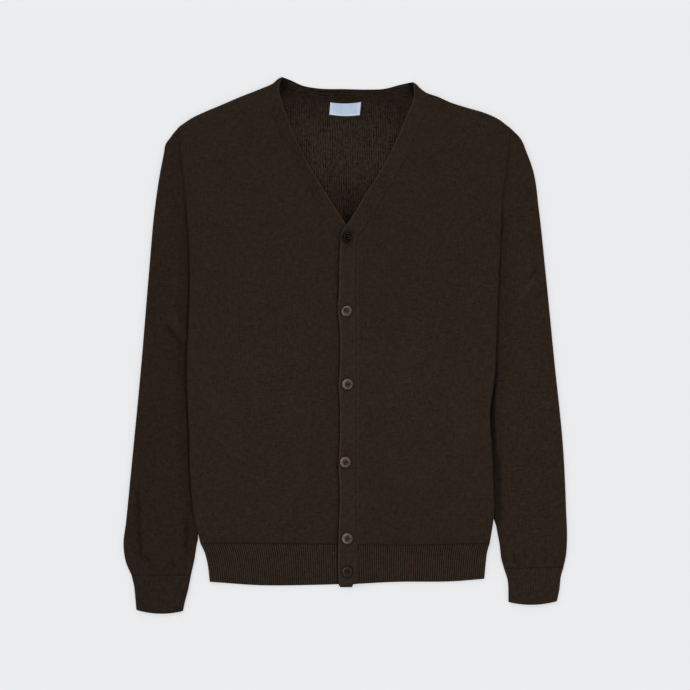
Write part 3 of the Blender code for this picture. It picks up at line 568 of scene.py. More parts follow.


# Painted light and shade: soft lighter and darker places painted into the cloth's colour,
# such as the lighter middle of the fronts, the darker left sleeve and cuffs, the dark V point
# and the dark neck corners
SHADES = (              # piece, x, y, reach across, reach along, tone
    ("front_left", 0, -80, EVERYWHERE, 190.0, 1.10),
    ("front_right", 0, -80, EVERYWHERE, 190.0, 1.13),
    ("sleeve_face_left", 0, 0, EVERYWHERE, EVERYWHERE, 0.90),
    ("sleeve_face_right", 0, -60, EVERYWHERE, 220.0, 1.07),
    ("cuff_rib_left", 0, 0, EVERYWHERE, EVERYWHERE, 0.79),
    ("cuff_rib_right", 0, 0, EVERYWHERE, EVERYWHERE, 0.91),
    ("band_under", -60, 270, 90.0, 110.0, 0.84),
    ("band_neck", 0, 0, EVERYWHERE, EVERYWHERE, 0.66),
    ("band_neck", -84.4, 358, 6.0, 14.0, 0.12),
    ("band_neck", 92, 356, 4.0, 12.0, 0.15),
    ("band_neck", -45, 350, 30.0, 14.0, 0.86),
    ("band_over", 3.4, 147, 8.5, 11.5, 0.55),
    ("back", 0, 250, EVERYWHERE, 70.0, 1.12),
    ("back", 0, 345, 300, 26.0, 0.74),
    ("back", 75, 318, 22.0, 40.0, 0.80),
    ("back", -76, 330, 12.0, 20.0, 0.80),
    ("back", 4, 200, 40.0, 30.0, 0.62),
    ("back", 3, 174, 12.0, 14.0, 0.25),
)
DIP_LEFT = (            # y, reach and depth of the shade where the sleeve dips at the body
    (300, 2.0, 0.12), (240, 2.5, 0.22), (130, 2.5, 0.45), (40, 4.0, 0.45),
    (-35, 3.0, 0.55), (-145, 2.6, 0.66), (-200, 3.0, 0.50), (-224, 3.0, 0.20),
    (-262, 3.0, 0.12))
DIP_RIGHT = (
    (300, 2.0, 0.10), (240, 3.0, 0.20), (130, 3.0, 0.25), (40, 2.5, 0.35),
    (-15, 4.0, 0.38), (-45, 4.5, 0.70), (-70, 5.0, 0.85), (-95, 6.5, 0.82),
    (-125, 7.0, 0.75), (-150, 8.5, 0.50), (-190, 12.0, 0.42), (-230, 11.0, 0.40),
    (-262, 6.0, 0.30))
SIDE_DEPTH = 0.30       # shade on the body's own fold beside the sleeve
CREASE_DEPTH = 0.54     # shade in a crease of the sleeves
SLIT_REACH = 8.6        # from a button's middle to the ends of its buttonhole
STEP_DEPTH = 0.64       # shade on the left front along the upper band's free edge
CREST = 0.62            # painted highlight: how much lighter the bands' folded edges are
SEAM_CREST = 0.50       # and the painted highlight on the right front along its band seam
HEM_SEAM_DEPTH = 0.38   # shade along the seam above the hem's ribs
BUTTON_DEPTH = 0.25     # shade of the buttons on the band
SLIT_DEPTH = 0.6        # shade where a buttonhole's ends show beyond its button
PLACKET = 1.15          # tone of the upper band below the V
CLOSED_BELOW = 165      # y where the front closes below the V


def tones(piece, points):
    """Painted light and shade: how light the cloth is at each point, from the soft places of
    SHADES.
    """
    tone = np.ones(len(points))
    for name, x, y, across, along, level in SHADES:
        if name == piece:
            near = np.exp(-((points[:, 0] - x) / across)**2
                          - ((points[:, 1] - y) / along)**2)
            tone *= 1 + (level - 1) * near
    return tone


def hump(distance, middle, width):
    """1 at the middle distance, and less away from it."""
    return np.exp(-((distance - middle) / width)**2)


def crease_tone(piece, points):
    """Creases carry painted shade along their bottoms and painted light on crests."""
    tone = np.ones(len(points))
    for name, *ends, width, depth in CREASES:
        if name == piece:
            tone -= CREASE_DEPTH * depth * crease_at(points, ends, 0.4 * width)
    return tone


def front_tone(points, from_seam, mirrored):
    """Painted shade on the fronts at their sides, along the hem seam and, on the left front,
    beside the upper band's free edge; a painted highlight on the right front along its band
    seam.
    """
    y = points[:, 1]
    tone = 1 - SIDE_DEPTH * hump(read_rims(points)[0], 0, 1.4) * smooth((290 - y) / 30)
    tone *= hem_tone(points)
    if mirrored:
        return tone * (1 + SEAM_CREST * hump(from_seam, 1.1, 0.8) * smooth((150 - y) / 20))
    return tone * step_tone(points)


def step_tone(points):
    """The left front is in shade along the upper band's free edge."""
    gap = upper_edge.x_at(points[:, 1]) - points[:, 0]
    return 1 - STEP_DEPTH * hump(gap, 0.5, 1.15) * smooth((CLOSED_BELOW - points[:, 1]) / 10)


def hem_tone(points):
    """The seam above the hem's ribs is a dark line of painted shade."""
    return 1 - HEM_SEAM_DEPTH * hump(nearest_place(hem_seam, points)[2], 0.2, 1.1)


def band_tone(points, from_edge, from_seam, upper):
    """The bands' folded edge is lighter, a painted highlight, and so is the placket; painted
    shade lies along the upper band's seam below the V, round the buttons and at the
    buttonholes' ends, and on the lower band along the upper band's edge.
    """
    tone = 1 + CREST * hump(from_edge, 1.15, 0.8)
    if not upper:
        return tone * step_tone(points)
    below = smooth((CLOSED_BELOW - points[:, 1]) / 20)
    tone *= (1 + (PLACKET - 1) * below) * (1 - 0.22 * hump(from_seam, 0.6, 0.9) * below)
    for x, y, *_ in BUTTONS:
        round_ = np.hypot(points[:, 0] - x, points[:, 1] - y)
        tone *= 1 - BUTTON_DEPTH * hump(round_, 8.4, 1.4)
    for x, y, *_ in BUTTONS[1:5]:
        for end in (-SLIT_REACH, SLIT_REACH):
            tone *= 1 - (SLIT_DEPTH * hump(points[:, 0], x, 0.9)
                         * hump(points[:, 1], y + end, 1.2))
    return tone


def sleeve_tone(points, side, mirrored):
    """The sleeve is in shade where it dips under the body's side."""
    x, y = points[:, 0], points[:, 1]
    out = (x - side.x_at(y)) if mirrored else (side.x_at(y) - x)
    dip = DIP_RIGHT if mirrored else DIP_LEFT
    shade = table_at(dip, y, 2) * smooth((table_at(dip, y) + 1.2 - out) / 2.4)
    return (1 - shade) * crease_tone("sleeve_right" if mirrored else "sleeve_left", points)


# ---------------------------------------------------------------- finishes
class Nodes:
    """A node tree, built up by a few short calls."""

    def __init__(self, tree):
        self.tree = tree

    def add(self, kind, inputs=(), **settings):
        """A node, with a value, a socket or another node's first output at its inputs."""
        node = self.tree.nodes.new(kind)
        for key, value in settings.items():
            setattr(node, key, value)
        for key, value in dict(inputs).items():
            if isinstance(value, bpy.types.Node):
                value = value.outputs[0]
            if isinstance(value, bpy.types.NodeSocket):
                self.tree.links.new(value, node.inputs[key])
            else:
                node.inputs[key].default_value = value
        return node

    def math(self, operation, *values):
        """The outcome of one sum."""
        return self.add("ShaderNodeMath", dict(enumerate(values)), operation=operation)

    def times(self, *values):
        return self.math("MULTIPLY", *values)

    def plus(self, total, *others):
        for other in others:
            total = self.math("ADD", total, other)
        return total

    def wave(self, turns, operation="COSINE"):
        """A wave that repeats with each turn."""
        return self.math(operation, self.times(turns, 2 * math.pi))


class Finish(Nodes):
    """A node-based material."""

    def __init__(self, name, roughness, specular, sheen=0.0):
        self.made = bpy.data.materials.new(name)
        self.made.use_nodes = True
        super().__init__(self.made.node_tree)
        self.inputs = self.tree.nodes["Principled BSDF"].inputs
        self.put({"Roughness": roughness, "Specular IOR Level": specular,
                  "Sheen Weight": sheen})

    def put(self, values):
        """Sets the shader's inputs."""
        for name, value in values.items():
            self.inputs[name].default_value = value

    def drive(self, name, node):
        """Links a node to one of the shader's inputs."""
        self.tree.links.new(node.outputs[0], self.inputs[name])

    def spread(self, value, low, high, to_low, to_high):
        return self.add("ShaderNodeMapRange", dict(enumerate((value, low, high, to_low,
                                                              to_high))))

    def uneven(self, value, reach):
        """A noise as a difference of up to reach to either side."""
        return self.spread(value, 0.3, 0.7, -reach, reach)

    def knit_map(self, wale, course):
        """The place in the knit, counted in wales across and courses along."""
        place = self.add("ShaderNodeUVMap", uv_map="knit")
        apart = self.add("ShaderNodeSeparateXYZ", {0: place}).outputs
        return (place, self.math("DIVIDE", apart[0], wale),
                self.math("DIVIDE", apart[1], course))

    def place(self):
        """Each point's place on its piece."""
        return self.add("ShaderNodeTexCoord").outputs["Object"]

    def noise(self, scale, detail=2.0, place=None, roughness=0.5):
        return self.add("ShaderNodeTexNoise", {"Vector": place or self.place(),
                                               "Scale": scale, "Detail": detail,
                                               "Roughness": roughness})

    def streaks(self, place, across, along, scale):
        """Noise that is drawn out across or along the knit."""
        drawn = self.add("ShaderNodeMapping", {"Vector": place,
                                               "Scale": (across, along, 1)})
        return self.noise(scale, 2.0, drawn, 0.6)

    def attribute(self, name):
        """A value that the points carry."""
        return self.add("ShaderNodeAttribute", attribute_name=name).outputs["Fac"]

    def colour(self, dark, light, share, toned=True):
        """A mix of two colours, times the tone of each point, which carries painted light and
        shade.
        """
        result = self.add("ShaderNodeMix", {"Factor": share, 6: (*dark, 1),
                                            7: (*light, 1)}, data_type="RGBA")
        if toned:
            result = self.add("ShaderNodeMix", {"Factor": 1.0,
                                                6: result.outputs["Result"],
                                                7: self.attribute("tone")},
                              data_type="RGBA", blend_type="MULTIPLY")
        self.tree.links.new(result.outputs["Result"], self.inputs["Base Color"])

    def bump(self, height, distance, strength=1.0):
        """A relief in the shading only."""
        self.drive("Normal", self.add("ShaderNodeBump", {
            "Height": height, "Distance": distance, "Strength": strength}))


def scaled(colour, share):
    """A darker or lighter colour."""
    return [share * c for c in colour]


KNIT_LOOKS = {          # darkest and lightest share of the colour, which hold painted shade in the knit's hollows and painted light on its tops, and the blotches
    "face": (0.25, 1.75, 0.10),
    "reverse": (0.10, 1.90, 0.20),
    "rib": (0.10, 1.90, 0.05),
}


def knit_finish(name, colour, knit, look="face"):
    """Fine knit: V-shaped stitches, the doubled columns of its reverse, or ribs."""
    made = Finish(name, 0.92, 0.06, knit.sheen)
    low, high, blotch = KNIT_LOOKS[look]
    place, wale, course = made.knit_map(knit.wale, knit.course)
    across = made.math("ABSOLUTE", made.math(
        "SUBTRACT", made.times(made.math("FRACT", wale), 2.0), 1.0))
    if look == "reverse":
        row = made.plus(course, made.times(made.wave(wale), 0.2))
        height = made.plus(made.spread(made.wave(row), -1, 1, 0, 0.75),
                           made.times(across, 0.25))
    else:
        row = made.math("SUBTRACT", course, made.times(across, 0.75))
        leg = made.math("SINE", made.times(made.math("FRACT", row), math.pi))
        bow = made.math("SINE", made.times(made.math("POWER", across, 0.8), math.pi))
        height = made.times(made.spread(leg, 0, 1, 0.45, 1.0),
                            made.math("POWER", made.math("MAXIMUM", bow, 0.0), 0.6))
    yarn = made.noise(900.0, 3.0, place, 0.65)
    # The colour follows the stitches' relief, painted shade in their hollows and painted
    # light on their tops, with the yarn's own flecks, streaks, blotches and patches
    share = made.plus(made.math("MULTIPLY_ADD", height, 0.3, 0.33),
                      made.uneven(yarn, knit.fleck),
                      made.uneven(made.streaks(place, 1.0, 0.32, 330.0), knit.streak),
                      made.uneven(made.streaks(place, 0.3, 1.0, 360.0), knit.streak),
                      made.uneven(made.noise(250.0), blotch),
                      made.uneven(made.noise(34.0, 3.0, None, 0.6), knit.patch))
    if look == "reverse":
        wander = made.plus(wale, made.uneven(made.noise(60.0), 0.6))
        doubled = made.math("COSINE", made.times(wander, math.pi))
        clear = made.spread(made.noise(70.0, 3.0), 0.36, 0.64, 0.04, 0.36)
        share = made.plus(share, made.times(doubled, clear))
    # Painted shade in the ribs' valleys and painted light on their crests
    if look == "rib":
        share = made.plus(share, made.times(made.wave(made.attribute("rib")),
                                            made.times(made.attribute("ribbed"), 0.42)))
    made.colour(scaled(colour, low), scaled(colour, high), share)
    made.bump(made.plus(height, made.times(yarn, 0.3)), knit.stitch_depth, 0.8)
    made.put({"Sheen Roughness": 0.55, "Sheen Tint": (0.62, 0.45, 0.34, 1)})
    return made.made


def yarn_finish(name, colour, pitch):
    """Twisted sewing thread or linking yarn."""
    made = Finish(name, 0.8, 0.06, 0.05)
    grain = made.noise(1.6 / pitch)
    made.colour(scaled(colour, 0.6), scaled(colour, 1.35),
                made.spread(grain, 0.3, 0.7, 0, 1), toned=False)
    made.bump(grain, 0.0001, 0.6)
    return made.made


def horn_finish(name, light, gloss):
    """Horn-like plastic, polished, with soft streaks through it."""
    made = Finish(name, 0.25, gloss)
    turned_place = made.add("ShaderNodeMapping", {
        "Vector": made.place(), "Rotation": (0, 0, 0.7), "Scale": (1, 3.2, 1)})
    cloudy = made.noise(190.0, 5.0, turned_place, 0.6)
    made.colour(scaled(light, 0.42), light, made.spread(cloudy, 0.35, 0.65, 0, 1))
    made.drive("Roughness", made.spread(made.noise(1500.0, 2.0, turned_place),
                                        0.3, 0.7, 0.17, 0.28))
    made.bump(made.noise(420.0), 0.0001, 0.2)
    return made.made


def label_finish(name, colour, border, weave):
    """A fine woven satin label, left bare, with paler borders."""
    made = Finish(name, 0.62, 0.1, 0.1)
    _, across, along = made.knit_map(weave, weave)
    cross = made.times(made.wave(across, "SINE"), made.wave(along, "SINE"))
    soft = made.noise(160.0, 3.0)
    share = made.plus(made.spread(cross, -1, 1, 0.02, 0.16), made.uneven(soft, 0.12),
                      made.times(made.attribute("border"), 0.9))
    made.colour(scaled(colour, 0.97), border, share)
    made.bump(made.plus(cross, made.times(soft, 1.5)), 0.00008, 0.5)
    return made.made


def floor_finish(name, colour, glow):
    """Pale backdrop paper, part of whose brightness is light from behind it."""
    made = Finish(name, 0.95, 0.0)
    own = (1 - glow) * STAGE_LIGHT
    made.colour(scaled(colour, 0.995 * own), scaled(colour, 1.005 * own),
                made.noise(3.0, 3.0), toned=False)
    made.put({"Emission Color": (*colour, 1), "Emission Strength": glow})
    return made.made


THREAD_TWIST = 0.001    # length of one twist, in metres as are the next two
YARN_TWIST = 0.0012
LABEL_WEAVE = 0.0006
STAGE_LIGHT = 1.045     # albedo that shows the floor's colour at its own brightness
finishes = {}


def finish_named(name, maker, *values):
    """One material for each finish, made on first use."""
    if name not in finishes:
        finishes[name] = maker(name, *values)
    return finishes[name]


def knit_pair(knit):
    """Finishes of the plain knit's face and reverse."""
    return (finish_named("knit_face", knit_finish, knit.cloth, knit),
            finish_named("knit_inside", knit_finish, knit.inside, knit, "reverse"))


# ---------------------------------------------------------------- repeated stitches
class Growth(Nodes):
    """A Geometry Nodes tree with named inputs, set on a piece and then made a mesh."""

    def __init__(self, name, sizes):
        super().__init__(bpy.data.node_groups.new(name, "GeometryNodeTree"))
        face = self.tree.interface
        for way in ("INPUT", "OUTPUT"):
            face.new_socket("Geometry", in_out=way, socket_type="NodeSocketGeometry")
        self.sockets = {}
        for label, size in (*sizes.items(), ("Finish", None)):
            kind = "NodeSocketMaterial" if size is None else "NodeSocketFloat"
            made = face.new_socket(label, in_out="INPUT", socket_type=kind)
            if size is not None:
                made.default_value = size
            self.sockets[label] = made.identifier
        self.given = self.tree.nodes.new("NodeGroupInput").outputs
        self.end = self.tree.nodes.new("NodeGroupOutput")

    def closed(self, geometry):
        """The tree, once it ends in a plain mesh with its finish."""
        whole = self.add("GeometryNodeRealizeInstances", {0: geometry})
        done = self.add("GeometryNodeSetMaterial", {"Geometry": whole,
                                                    "Material": self.given["Finish"]})
        self.tree.links.new(done.outputs[0], self.end.inputs[0])
        return self

    def grown(self, piece, finish, sizes):
        """Gives the piece its grown shape as a plain mesh in place of its own."""
        modifier = piece.modifiers.new("growth", "NODES")
        modifier.node_group = self.tree
        for label, value in {**sizes, "Finish": finish}.items():
            modifier[self.sockets[label]] = value
        applied(piece, modifier)


def rib_growth():
    """Raises rounded ribs along a wall whose points carry their place across the ribs."""
    grow = Growth("rib_relief", {"Rib Height": 0.0006, "Rib Fullness": 0.7})
    place, share = (grow.add("GeometryNodeInputNamedAttribute", {"Name": name})
                    for name in ("rib", "ribbed"))
    level = grow.math("MULTIPLY_ADD", grow.wave(place), -0.5, 0.5)
    full = grow.math("POWER", level, grow.given["Rib Fullness"])
    high = grow.times(grow.times(full, share), grow.given["Rib Height"])
    shift = grow.add("ShaderNodeVectorMath", {0: grow.add("GeometryNodeInputNormal"),
                                              "Scale": high}, operation="SCALE")
    return grow.closed(grow.add("GeometryNodeSetPosition", {
        "Geometry": grow.given["Geometry"], "Offset": shift}))


def stitch_growth():
    """Rows of small loops of yarn, laid end to end along a line."""
    grow = Growth("stitch_row", {"Stitch Length": 0.002, "Stitch Thickness": 0.0004,
                                 "Stitch Fill": 0.9, "Stitch Turn": 0.0})
    length, thickness = grow.given["Stitch Length"], grow.given["Stitch Thickness"]
    line = grow.add("GeometryNodeMeshToCurve", {"Mesh": grow.given["Geometry"]})
    spaced = grow.add("GeometryNodeResampleCurve", {"Curve": line, "Length": length},
                      mode="LENGTH")
    loop = grow.add("GeometryNodeMeshUVSphere", {"Segments": 8, "Rings": 5, "Radius": 0.5})
    facing = grow.add("FunctionNodeAlignRotationToVector",
                      {"Vector": grow.add("GeometryNodeInputTangent")}, axis="X",
                      pivot_axis="Z")
    turn = grow.add("ShaderNodeCombineXYZ", {"Z": grow.given["Stitch Turn"]})
    laid = grow.add("FunctionNodeRotateRotation", {0: facing, 1: turn},
                    rotation_space="LOCAL")
    size = grow.add("ShaderNodeCombineXYZ", {
        0: grow.times(length, grow.given["Stitch Fill"]), 1: thickness, 2: thickness})
    placed = grow.add("GeometryNodeInstanceOnPoints", {
        "Points": spaced, "Instance": loop, "Rotation": laid, "Scale": size})
    whole = grow.add("GeometryNodeRealizeInstances", {0: placed})
    return grow.closed(grow.add("GeometryNodeSetShadeSmooth", {"Geometry": whole}))


def thread_growth():
    """A round thread along each line."""
    grow = Growth("thread", {"Thread Thickness": 0.0005})
    ring = grow.add("GeometryNodeCurvePrimitiveCircle", {
        "Resolution": 8, "Radius": grow.times(grow.given["Thread Thickness"], 0.5)})
    line = grow.add("GeometryNodeMeshToCurve", {"Mesh": grow.given["Geometry"]})
    return grow.closed(grow.add("GeometryNodeCurveToMesh", {
        "Curve": line, "Profile Curve": ring, "Fill Caps": True}))


def lines_of(name, lines):
    """An object of bare edges with one run for each line of points in millimetres."""
    points = np.vstack([np.asarray(line, float) for line in lines]) * MM
    edges, first = [], 0
    for line in lines:
        edges += [(first + k, first + k + 1) for k in range(len(line) - 1)]
        first += len(line)
    mesh = bpy.data.meshes.new(name)
    mesh.from_pydata(points.tolist(), edges, [])
    return added(name, mesh)


AROUND = ((0, 0), (0.6, 0), (-0.6, 0), (0, 0.6), (0, -0.6))


def on_surface(points, rise=0.0):
    """Highest place of the finished cloth close to each x, y, lifted by rise."""
    shown = [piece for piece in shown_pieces() if piece.get("cloth")]
    places = []
    for x, y in np.asarray(points, float)[:, :2]:
        heights = [0.0]
        for dx, dy in AROUND:
            above = Vector(((x + dx) * MM, (y + dy) * MM, 0.05))
            found = [piece.ray_cast(above, Vector((0, 0, -1))) for piece in shown]
            heights += [place.z / MM for hit, place, _, _ in found if hit]
        places.append((x, y, max(heights) + rise))
    return np.array(places)


# ---------------------------------------------------------------- settings
def length_setting(name, description, default):
    """A setting in metres."""
    return bpy.props.FloatProperty(name=name, description=description, default=default,
                                   min=0.0, precision=5, unit="LENGTH")


def light_setting(name, description, default):
    """A strength of light."""
    return bpy.props.FloatProperty(name=name, description=description, default=default,
                                   min=0.0)


def share_setting(name, description, default, high=1.0):
    """A share from none to high."""
    return bpy.props.FloatProperty(name=name, description=description, default=default,
                                   min=0.0, max=high, subtype="FACTOR")


def colour_setting(name, description, default):
    """A linear colour."""
    return bpy.props.FloatVectorProperty(name=name, description=description, size=3,
                                         default=default, min=0.0, max=1.0,
                                         subtype="COLOR")


class KnitSettings(bpy.types.PropertyGroup):
    wale: length_setting("Wale", "Width of one column of stitches", 0.00160)
    course: length_setting("Course", "Height of one row of stitches", 0.00125)
    stitch_depth: length_setting("Stitch Depth", "Relief of one stitch", 0.00028)
    fleck: share_setting("Fleck", "Unevenness from one stitch to the next", 0.26)
    streak: share_setting("Streaks", "Unevenness along columns and rows", 0.11)
    patch: share_setting("Patches", "Slow unevenness of the cloth", 0.05)
    sheen: share_setting("Fuzz", "Soft fuzz of the yarn at grazing angles", 0.06)
    cloth: colour_setting("Cloth", "Body and sleeves", (0.0217, 0.0136, 0.0084))
    inside: colour_setting("Inside", "Reverse of the back panel", (0.0215, 0.0140, 0.0091))
    band: colour_setting("Bands", "Front bands and neckband", (0.0225, 0.0146, 0.0094))
    seam: colour_setting("Linking Yarn", "Yarn of the linked seams",
                         (0.0200, 0.0130, 0.0086))


class RibSettings(bpy.types.PropertyGroup):
    pitch: length_setting("Hem Rib Pitch", "From one rib to the next at the hem", 0.0031)
    cuff_pitch: length_setting("Cuff Rib Pitch", "From one rib to the next at the cuffs",
                               0.0035)
    height: length_setting("Rib Height", "How far a rib stands up", 0.0007)
    fullness: share_setting("Rib Fullness", "Lower is a broader, flatter crest", 0.7, 2.0)
    colour: colour_setting("Rib", "Hem and cuffs", (0.0245, 0.0155, 0.0099))


class ButtonSettings(bpy.types.PropertyGroup):
    radius: length_setting("Radius", "Radius of a button", 0.0074)
    hole_offset: length_setting("Hole Offset", "From the middle to each hole", 0.0024)
    hole_radius: length_setting("Hole Radius", "Radius of each sewing hole", 0.00105)
    thread: length_setting("Thread", "Thickness of the sewing thread", 0.0006)
    horn: colour_setting("Horn", "Light streaks of the horn", (0.165, 0.115, 0.089))
    charcoal: colour_setting("Top Button", "The charcoal button at the top",
                             (0.0042, 0.0034, 0.0028))
    brown: colour_setting("Hem Button", "The dark brown button on the hem",
                          (0.0290, 0.0190, 0.0125))
    dark_yarn: colour_setting("Dark Thread", "Sewing thread of the horn buttons",
                              (0.1000, 0.0620, 0.0440))
    yarn: colour_setting("Thread", "Sewing thread of the top and the hem button",
                         (0.038, 0.030, 0.025))


class LabelSettings(bpy.types.PropertyGroup):
    wall: length_setting("Thickness", "Folded woven label", 0.0006)
    colour: colour_setting("Colour", "Pale blue satin", (0.462, 0.552, 0.722))
    border: colour_setting("Border", "Paler woven borders", (0.745, 0.780, 0.850))
    stitch: colour_setting("Stitches", "Thread that holds its ends", (0.72, 0.77, 0.86))


class StageSettings(bpy.types.PropertyGroup):
    floor: colour_setting("Floor", "Plain pale floor", (0.838, 0.847, 0.863))
    glow: share_setting("Backlight", "Share of the floor's light that is its own", 0.6)
    floor_size: length_setting("Floor Size", "Width of the floor", 40.0)
    view_height: length_setting("View Height", "From the floor to the camera", 2.655)
    key: light_setting("Key Light", "Distant soft light", 0.35)
    key_spread: bpy.props.FloatProperty(name="Key Softness", default=math.radians(11),
                                        description="Angle that the light fills",
                                        min=0.0, max=math.pi, subtype="ANGLE")
    sky: light_setting("Sky", "Even light from all round", 0.88)


# ---------------------------------------------------------------- pieces of cloth
FRONTS = (              # hand, shoulder, side, hem rib's side, band seam, upper layer
    ("left", shoulder_left, side_left, rib_side_left, V_SEAM_LEFT, False),
    ("right", shoulder_right, side_right, rib_side_right, V_SEAM_RIGHT, True),
)


def band_seam_line(rows):
    """A band's seam down to the hem seam, and all of it."""
    line = Line(rows)
    x = line.x_at(-275.0)
    hem = line.share_near((x, np.interp(x, *hem_seam.points.T)))
    return line.between(0, hem), line




def beside(line, spot, mirrored):
    """The part of a line from a band out to the body's side."""
    share = line.share_near(spot)
    return line.between(share, 1) if mirrored else line.between(0, share)


def cloth_piece(name, node, slot, materials, sides, grid, coords, flat, rests_on,
                quads=None, layers=1, grow=None, **more):
    """A finished sheet of cloth from the two sides of its wall."""
    if quads is None:
        quads = quads_of(*grid.shape[:2])
    piece = wall_mesh(name, *sides, quads, coords, **more)
    finished(piece, node, materials)
    piece["cloth"] = True
    if grow:
        grow(piece)


class CARDIGAN_OT_back_panel(bpy.types.Operator):
    """Back panel, whose reverse shows inside the neck"""

    bl_idname = "cardigan.back_panel"
    bl_label = "Back Panel"

    def execute(self, context):
        left = shoulder_left.between(1, shoulder_left.share_near(NECK_SEAM[0]))
        right = shoulder_right.between(shoulder_right.share_near(NECK_SEAM[-1]), 1)
        neck = Line(NECK_SEAM)
        near_fold = 1 - smooth(read_rims(neck.points)[0] / 14)
        neck.points[:, 1] -= NECK_END_GAP * near_fold
        top = joined(left, neck, right)
        across = stops(top.length, FOLD_STOPS, GRID_STEP)
        down = stops(BACK_LENGTH, FOLD_STOPS, GRID_STEP, EDGE_STOPS)
        grid = patch(top, hem_seam, side_left, side_right, across, down)
        points = grid.reshape(-1, 2)
        outer, inner = thinned(lower_surface(points, CLOTH_WALL),
                               edge_rounding(grid, (0.7, 0.7, 0, 0)), -1)
        rise = waves("back", points) * still_at_edges(grid, 24) * 0.5
        inner[:, 2] += np.clip(rise, -0.3, 0.5)
        cloth_piece("back", "back_panel", "knit_inside",
                    knit_pair(context.scene.cardigan_knit), (outer, inner), grid, points,
                    (0.458, 0.645), ["sleeve_left", "sleeve_right"])
        return {"FINISHED"}


class CARDIGAN_OT_fronts(bpy.types.Operator):
    """Both front panels, folded down at the shoulders and sides"""

    bl_idname = "cardigan.fronts"
    bl_label = "Front Panels"

    def execute(self, context):
        materials = knit_pair(context.scene.cardigan_knit)
        down = stops(FRONT_LENGTH, FOLD_STOPS, GRID_STEP, EDGE_STOPS)
        for width, row in zip(FRONT_WIDTHS, FRONTS):
            hand, shoulder, side, _, band_rows, mirrored = row
            sewn, _ = band_seam_line(band_rows)
            top = shoulder.between(shoulder.share_near(band_rows[0]), 1)
            near, far = in_order(mirrored, EDGE_STOPS, FOLD_STOPS)
            grid = patch(top if mirrored else top.between(1, 0),
                         beside(hem_seam, sewn.points[-1], mirrored),
                         *in_order(mirrored, sewn, side),
                         stops(width, near, GRID_STEP, far), down)
            points = grid.reshape(-1, 2)
            fall = edge_rounding(grid, (0, 0.45, *in_order(mirrored, 0.6, 0)))
            rise = waves("front_" + hand, points) * still_at_edges(grid, 20)
            outer, inner = thinned(upper_surface(points, PANEL_STACK, CLOTH_WALL,
                                                 mirrored), fall)
            for one in (outer, inner):
                one[:, 2] += np.clip(rise, -0.55, 1.5)
            cloth_piece("front_" + hand, "front_panel_" + hand, "knit", materials,
                        (outer, inner), grid, points, (0.235, 0.645), ["back"],
                        tone=front_tone(points, nearest_place(sewn, points)[2], mirrored))
        return {"FINISHED"}


def swollen(line):
    """The upper band's free edge, with a swell beside each button."""
    points = line.points.copy()
    for _, y, *_ in BUTTONS[1:]:
        points[:, 0] -= BAND_WAVE * np.exp(-((points[:, 1] - y) / BAND_WAVE_REACH)**2)
    return Line(points, smooth=False)


upper_edge = swollen(Line(V_EDGE_RIGHT))
BANDS = (("under", Line(V_EDGE_LEFT)), ("over", upper_edge))


class CARDIGAN_OT_front_bands(bpy.types.Operator):
    """Doubled bands down both fronts"""

    bl_idname = "cardigan.front_bands"
    bl_label = "Front Bands"

    def execute(self, context):
        knit = context.scene.cardigan_knit
        face = finish_named("knit_band", knit_finish, knit.band, knit)
        across = stops(BAND_WIDTH, BAND_STOPS, 1.3)
        for (name, edge), row in zip(BANDS, FRONTS):
            _, shoulder, _, _, seam_rows, mirrored = row
            _, seam = band_seam_line(seam_rows)
            top = shoulder.between(0, shoulder.share_near(seam_rows[0]))
            left, right = in_order(mirrored, edge, seam)
            bottom = Line((left.points[-1], right.points[-1]), smooth=False)
            down = stops(seam.length, FOLD_STOPS, BAND_STEP, EDGE_STOPS)
            grid = patch(top if mirrored else top.between(1, 0), bottom, left, right,
                         across, down)
            points = grid.reshape(-1, 2)
            fall = edge_rounding(grid, (0, 1.15, *in_order(mirrored, 1.15, 0.8)))
            fall *= smooth(read_rims(points)[0] / BAND_SIDE_FADE)
            sides = thinned(upper_surface(points, BAND_BASE + BAND_WALL, BAND_WALL,
                                          mirrored), fall)
            width = np.linalg.norm(grid[:, -1] - grid[:, 0], axis=1)
            along = Line(grid[:, len(across) // 2], smooth=False).reach
            coords = np.column_stack((np.outer(width, across).ravel(),
                                      -np.repeat(along, len(across))))
            cloth_piece("band_" + name, "front_band_" + name, "band", (face, face), sides,
                        grid, coords, (0.034, 0.775), ["back"],
                        tone=band_tone(points, nearest_place(edge, points)[2],
                                       nearest_place(seam, points)[2], mirrored))
        return {"FINISHED"}


class CARDIGAN_OT_neckband(bpy.types.Operator):
    """Band behind the neck, lying on its face with its inside up"""

    bl_idname = "cardigan.neckband"
    bl_label = "Neckband"

    def execute(self, context):
        knit = context.scene.cardigan_knit
        face = finish_named("knit_neckband", knit_finish, knit.band, knit, "reverse")
        seam = Line(NECK_SEAM)
        left = shoulder_left.between(0, shoulder_left.share_near(NECK_SEAM[0]))
        right = shoulder_right.between(0, shoulder_right.share_near(NECK_SEAM[-1]))
        across = stops(seam.length, FOLD_STOPS, BAND_STEP)
        down = stops(NECKBAND_DEPTH, NECKBAND_STOPS, 1.4)
        grid = patch(Line(NECK_EDGE), seam, left, right, across, down)
        points = grid.reshape(-1, 2)
        fall = edge_rounding(grid, (0.85, 0.7, 0, 0))
        fall *= smooth(read_rims(points)[0] / BAND_SIDE_FADE)
        coords = np.column_stack((np.repeat(NECKBAND_DEPTH * down, len(across)),
                                  np.tile(seam.length * across, len(down))))
        cloth_piece("band_neck", "neckband_back", "band", (face, face),
                    thinned(lower_surface(points, NECKBAND_WALL), fall, -1), grid, coords,
                    (0.235, 0.024), ["back"])
        return {"FINISHED"}


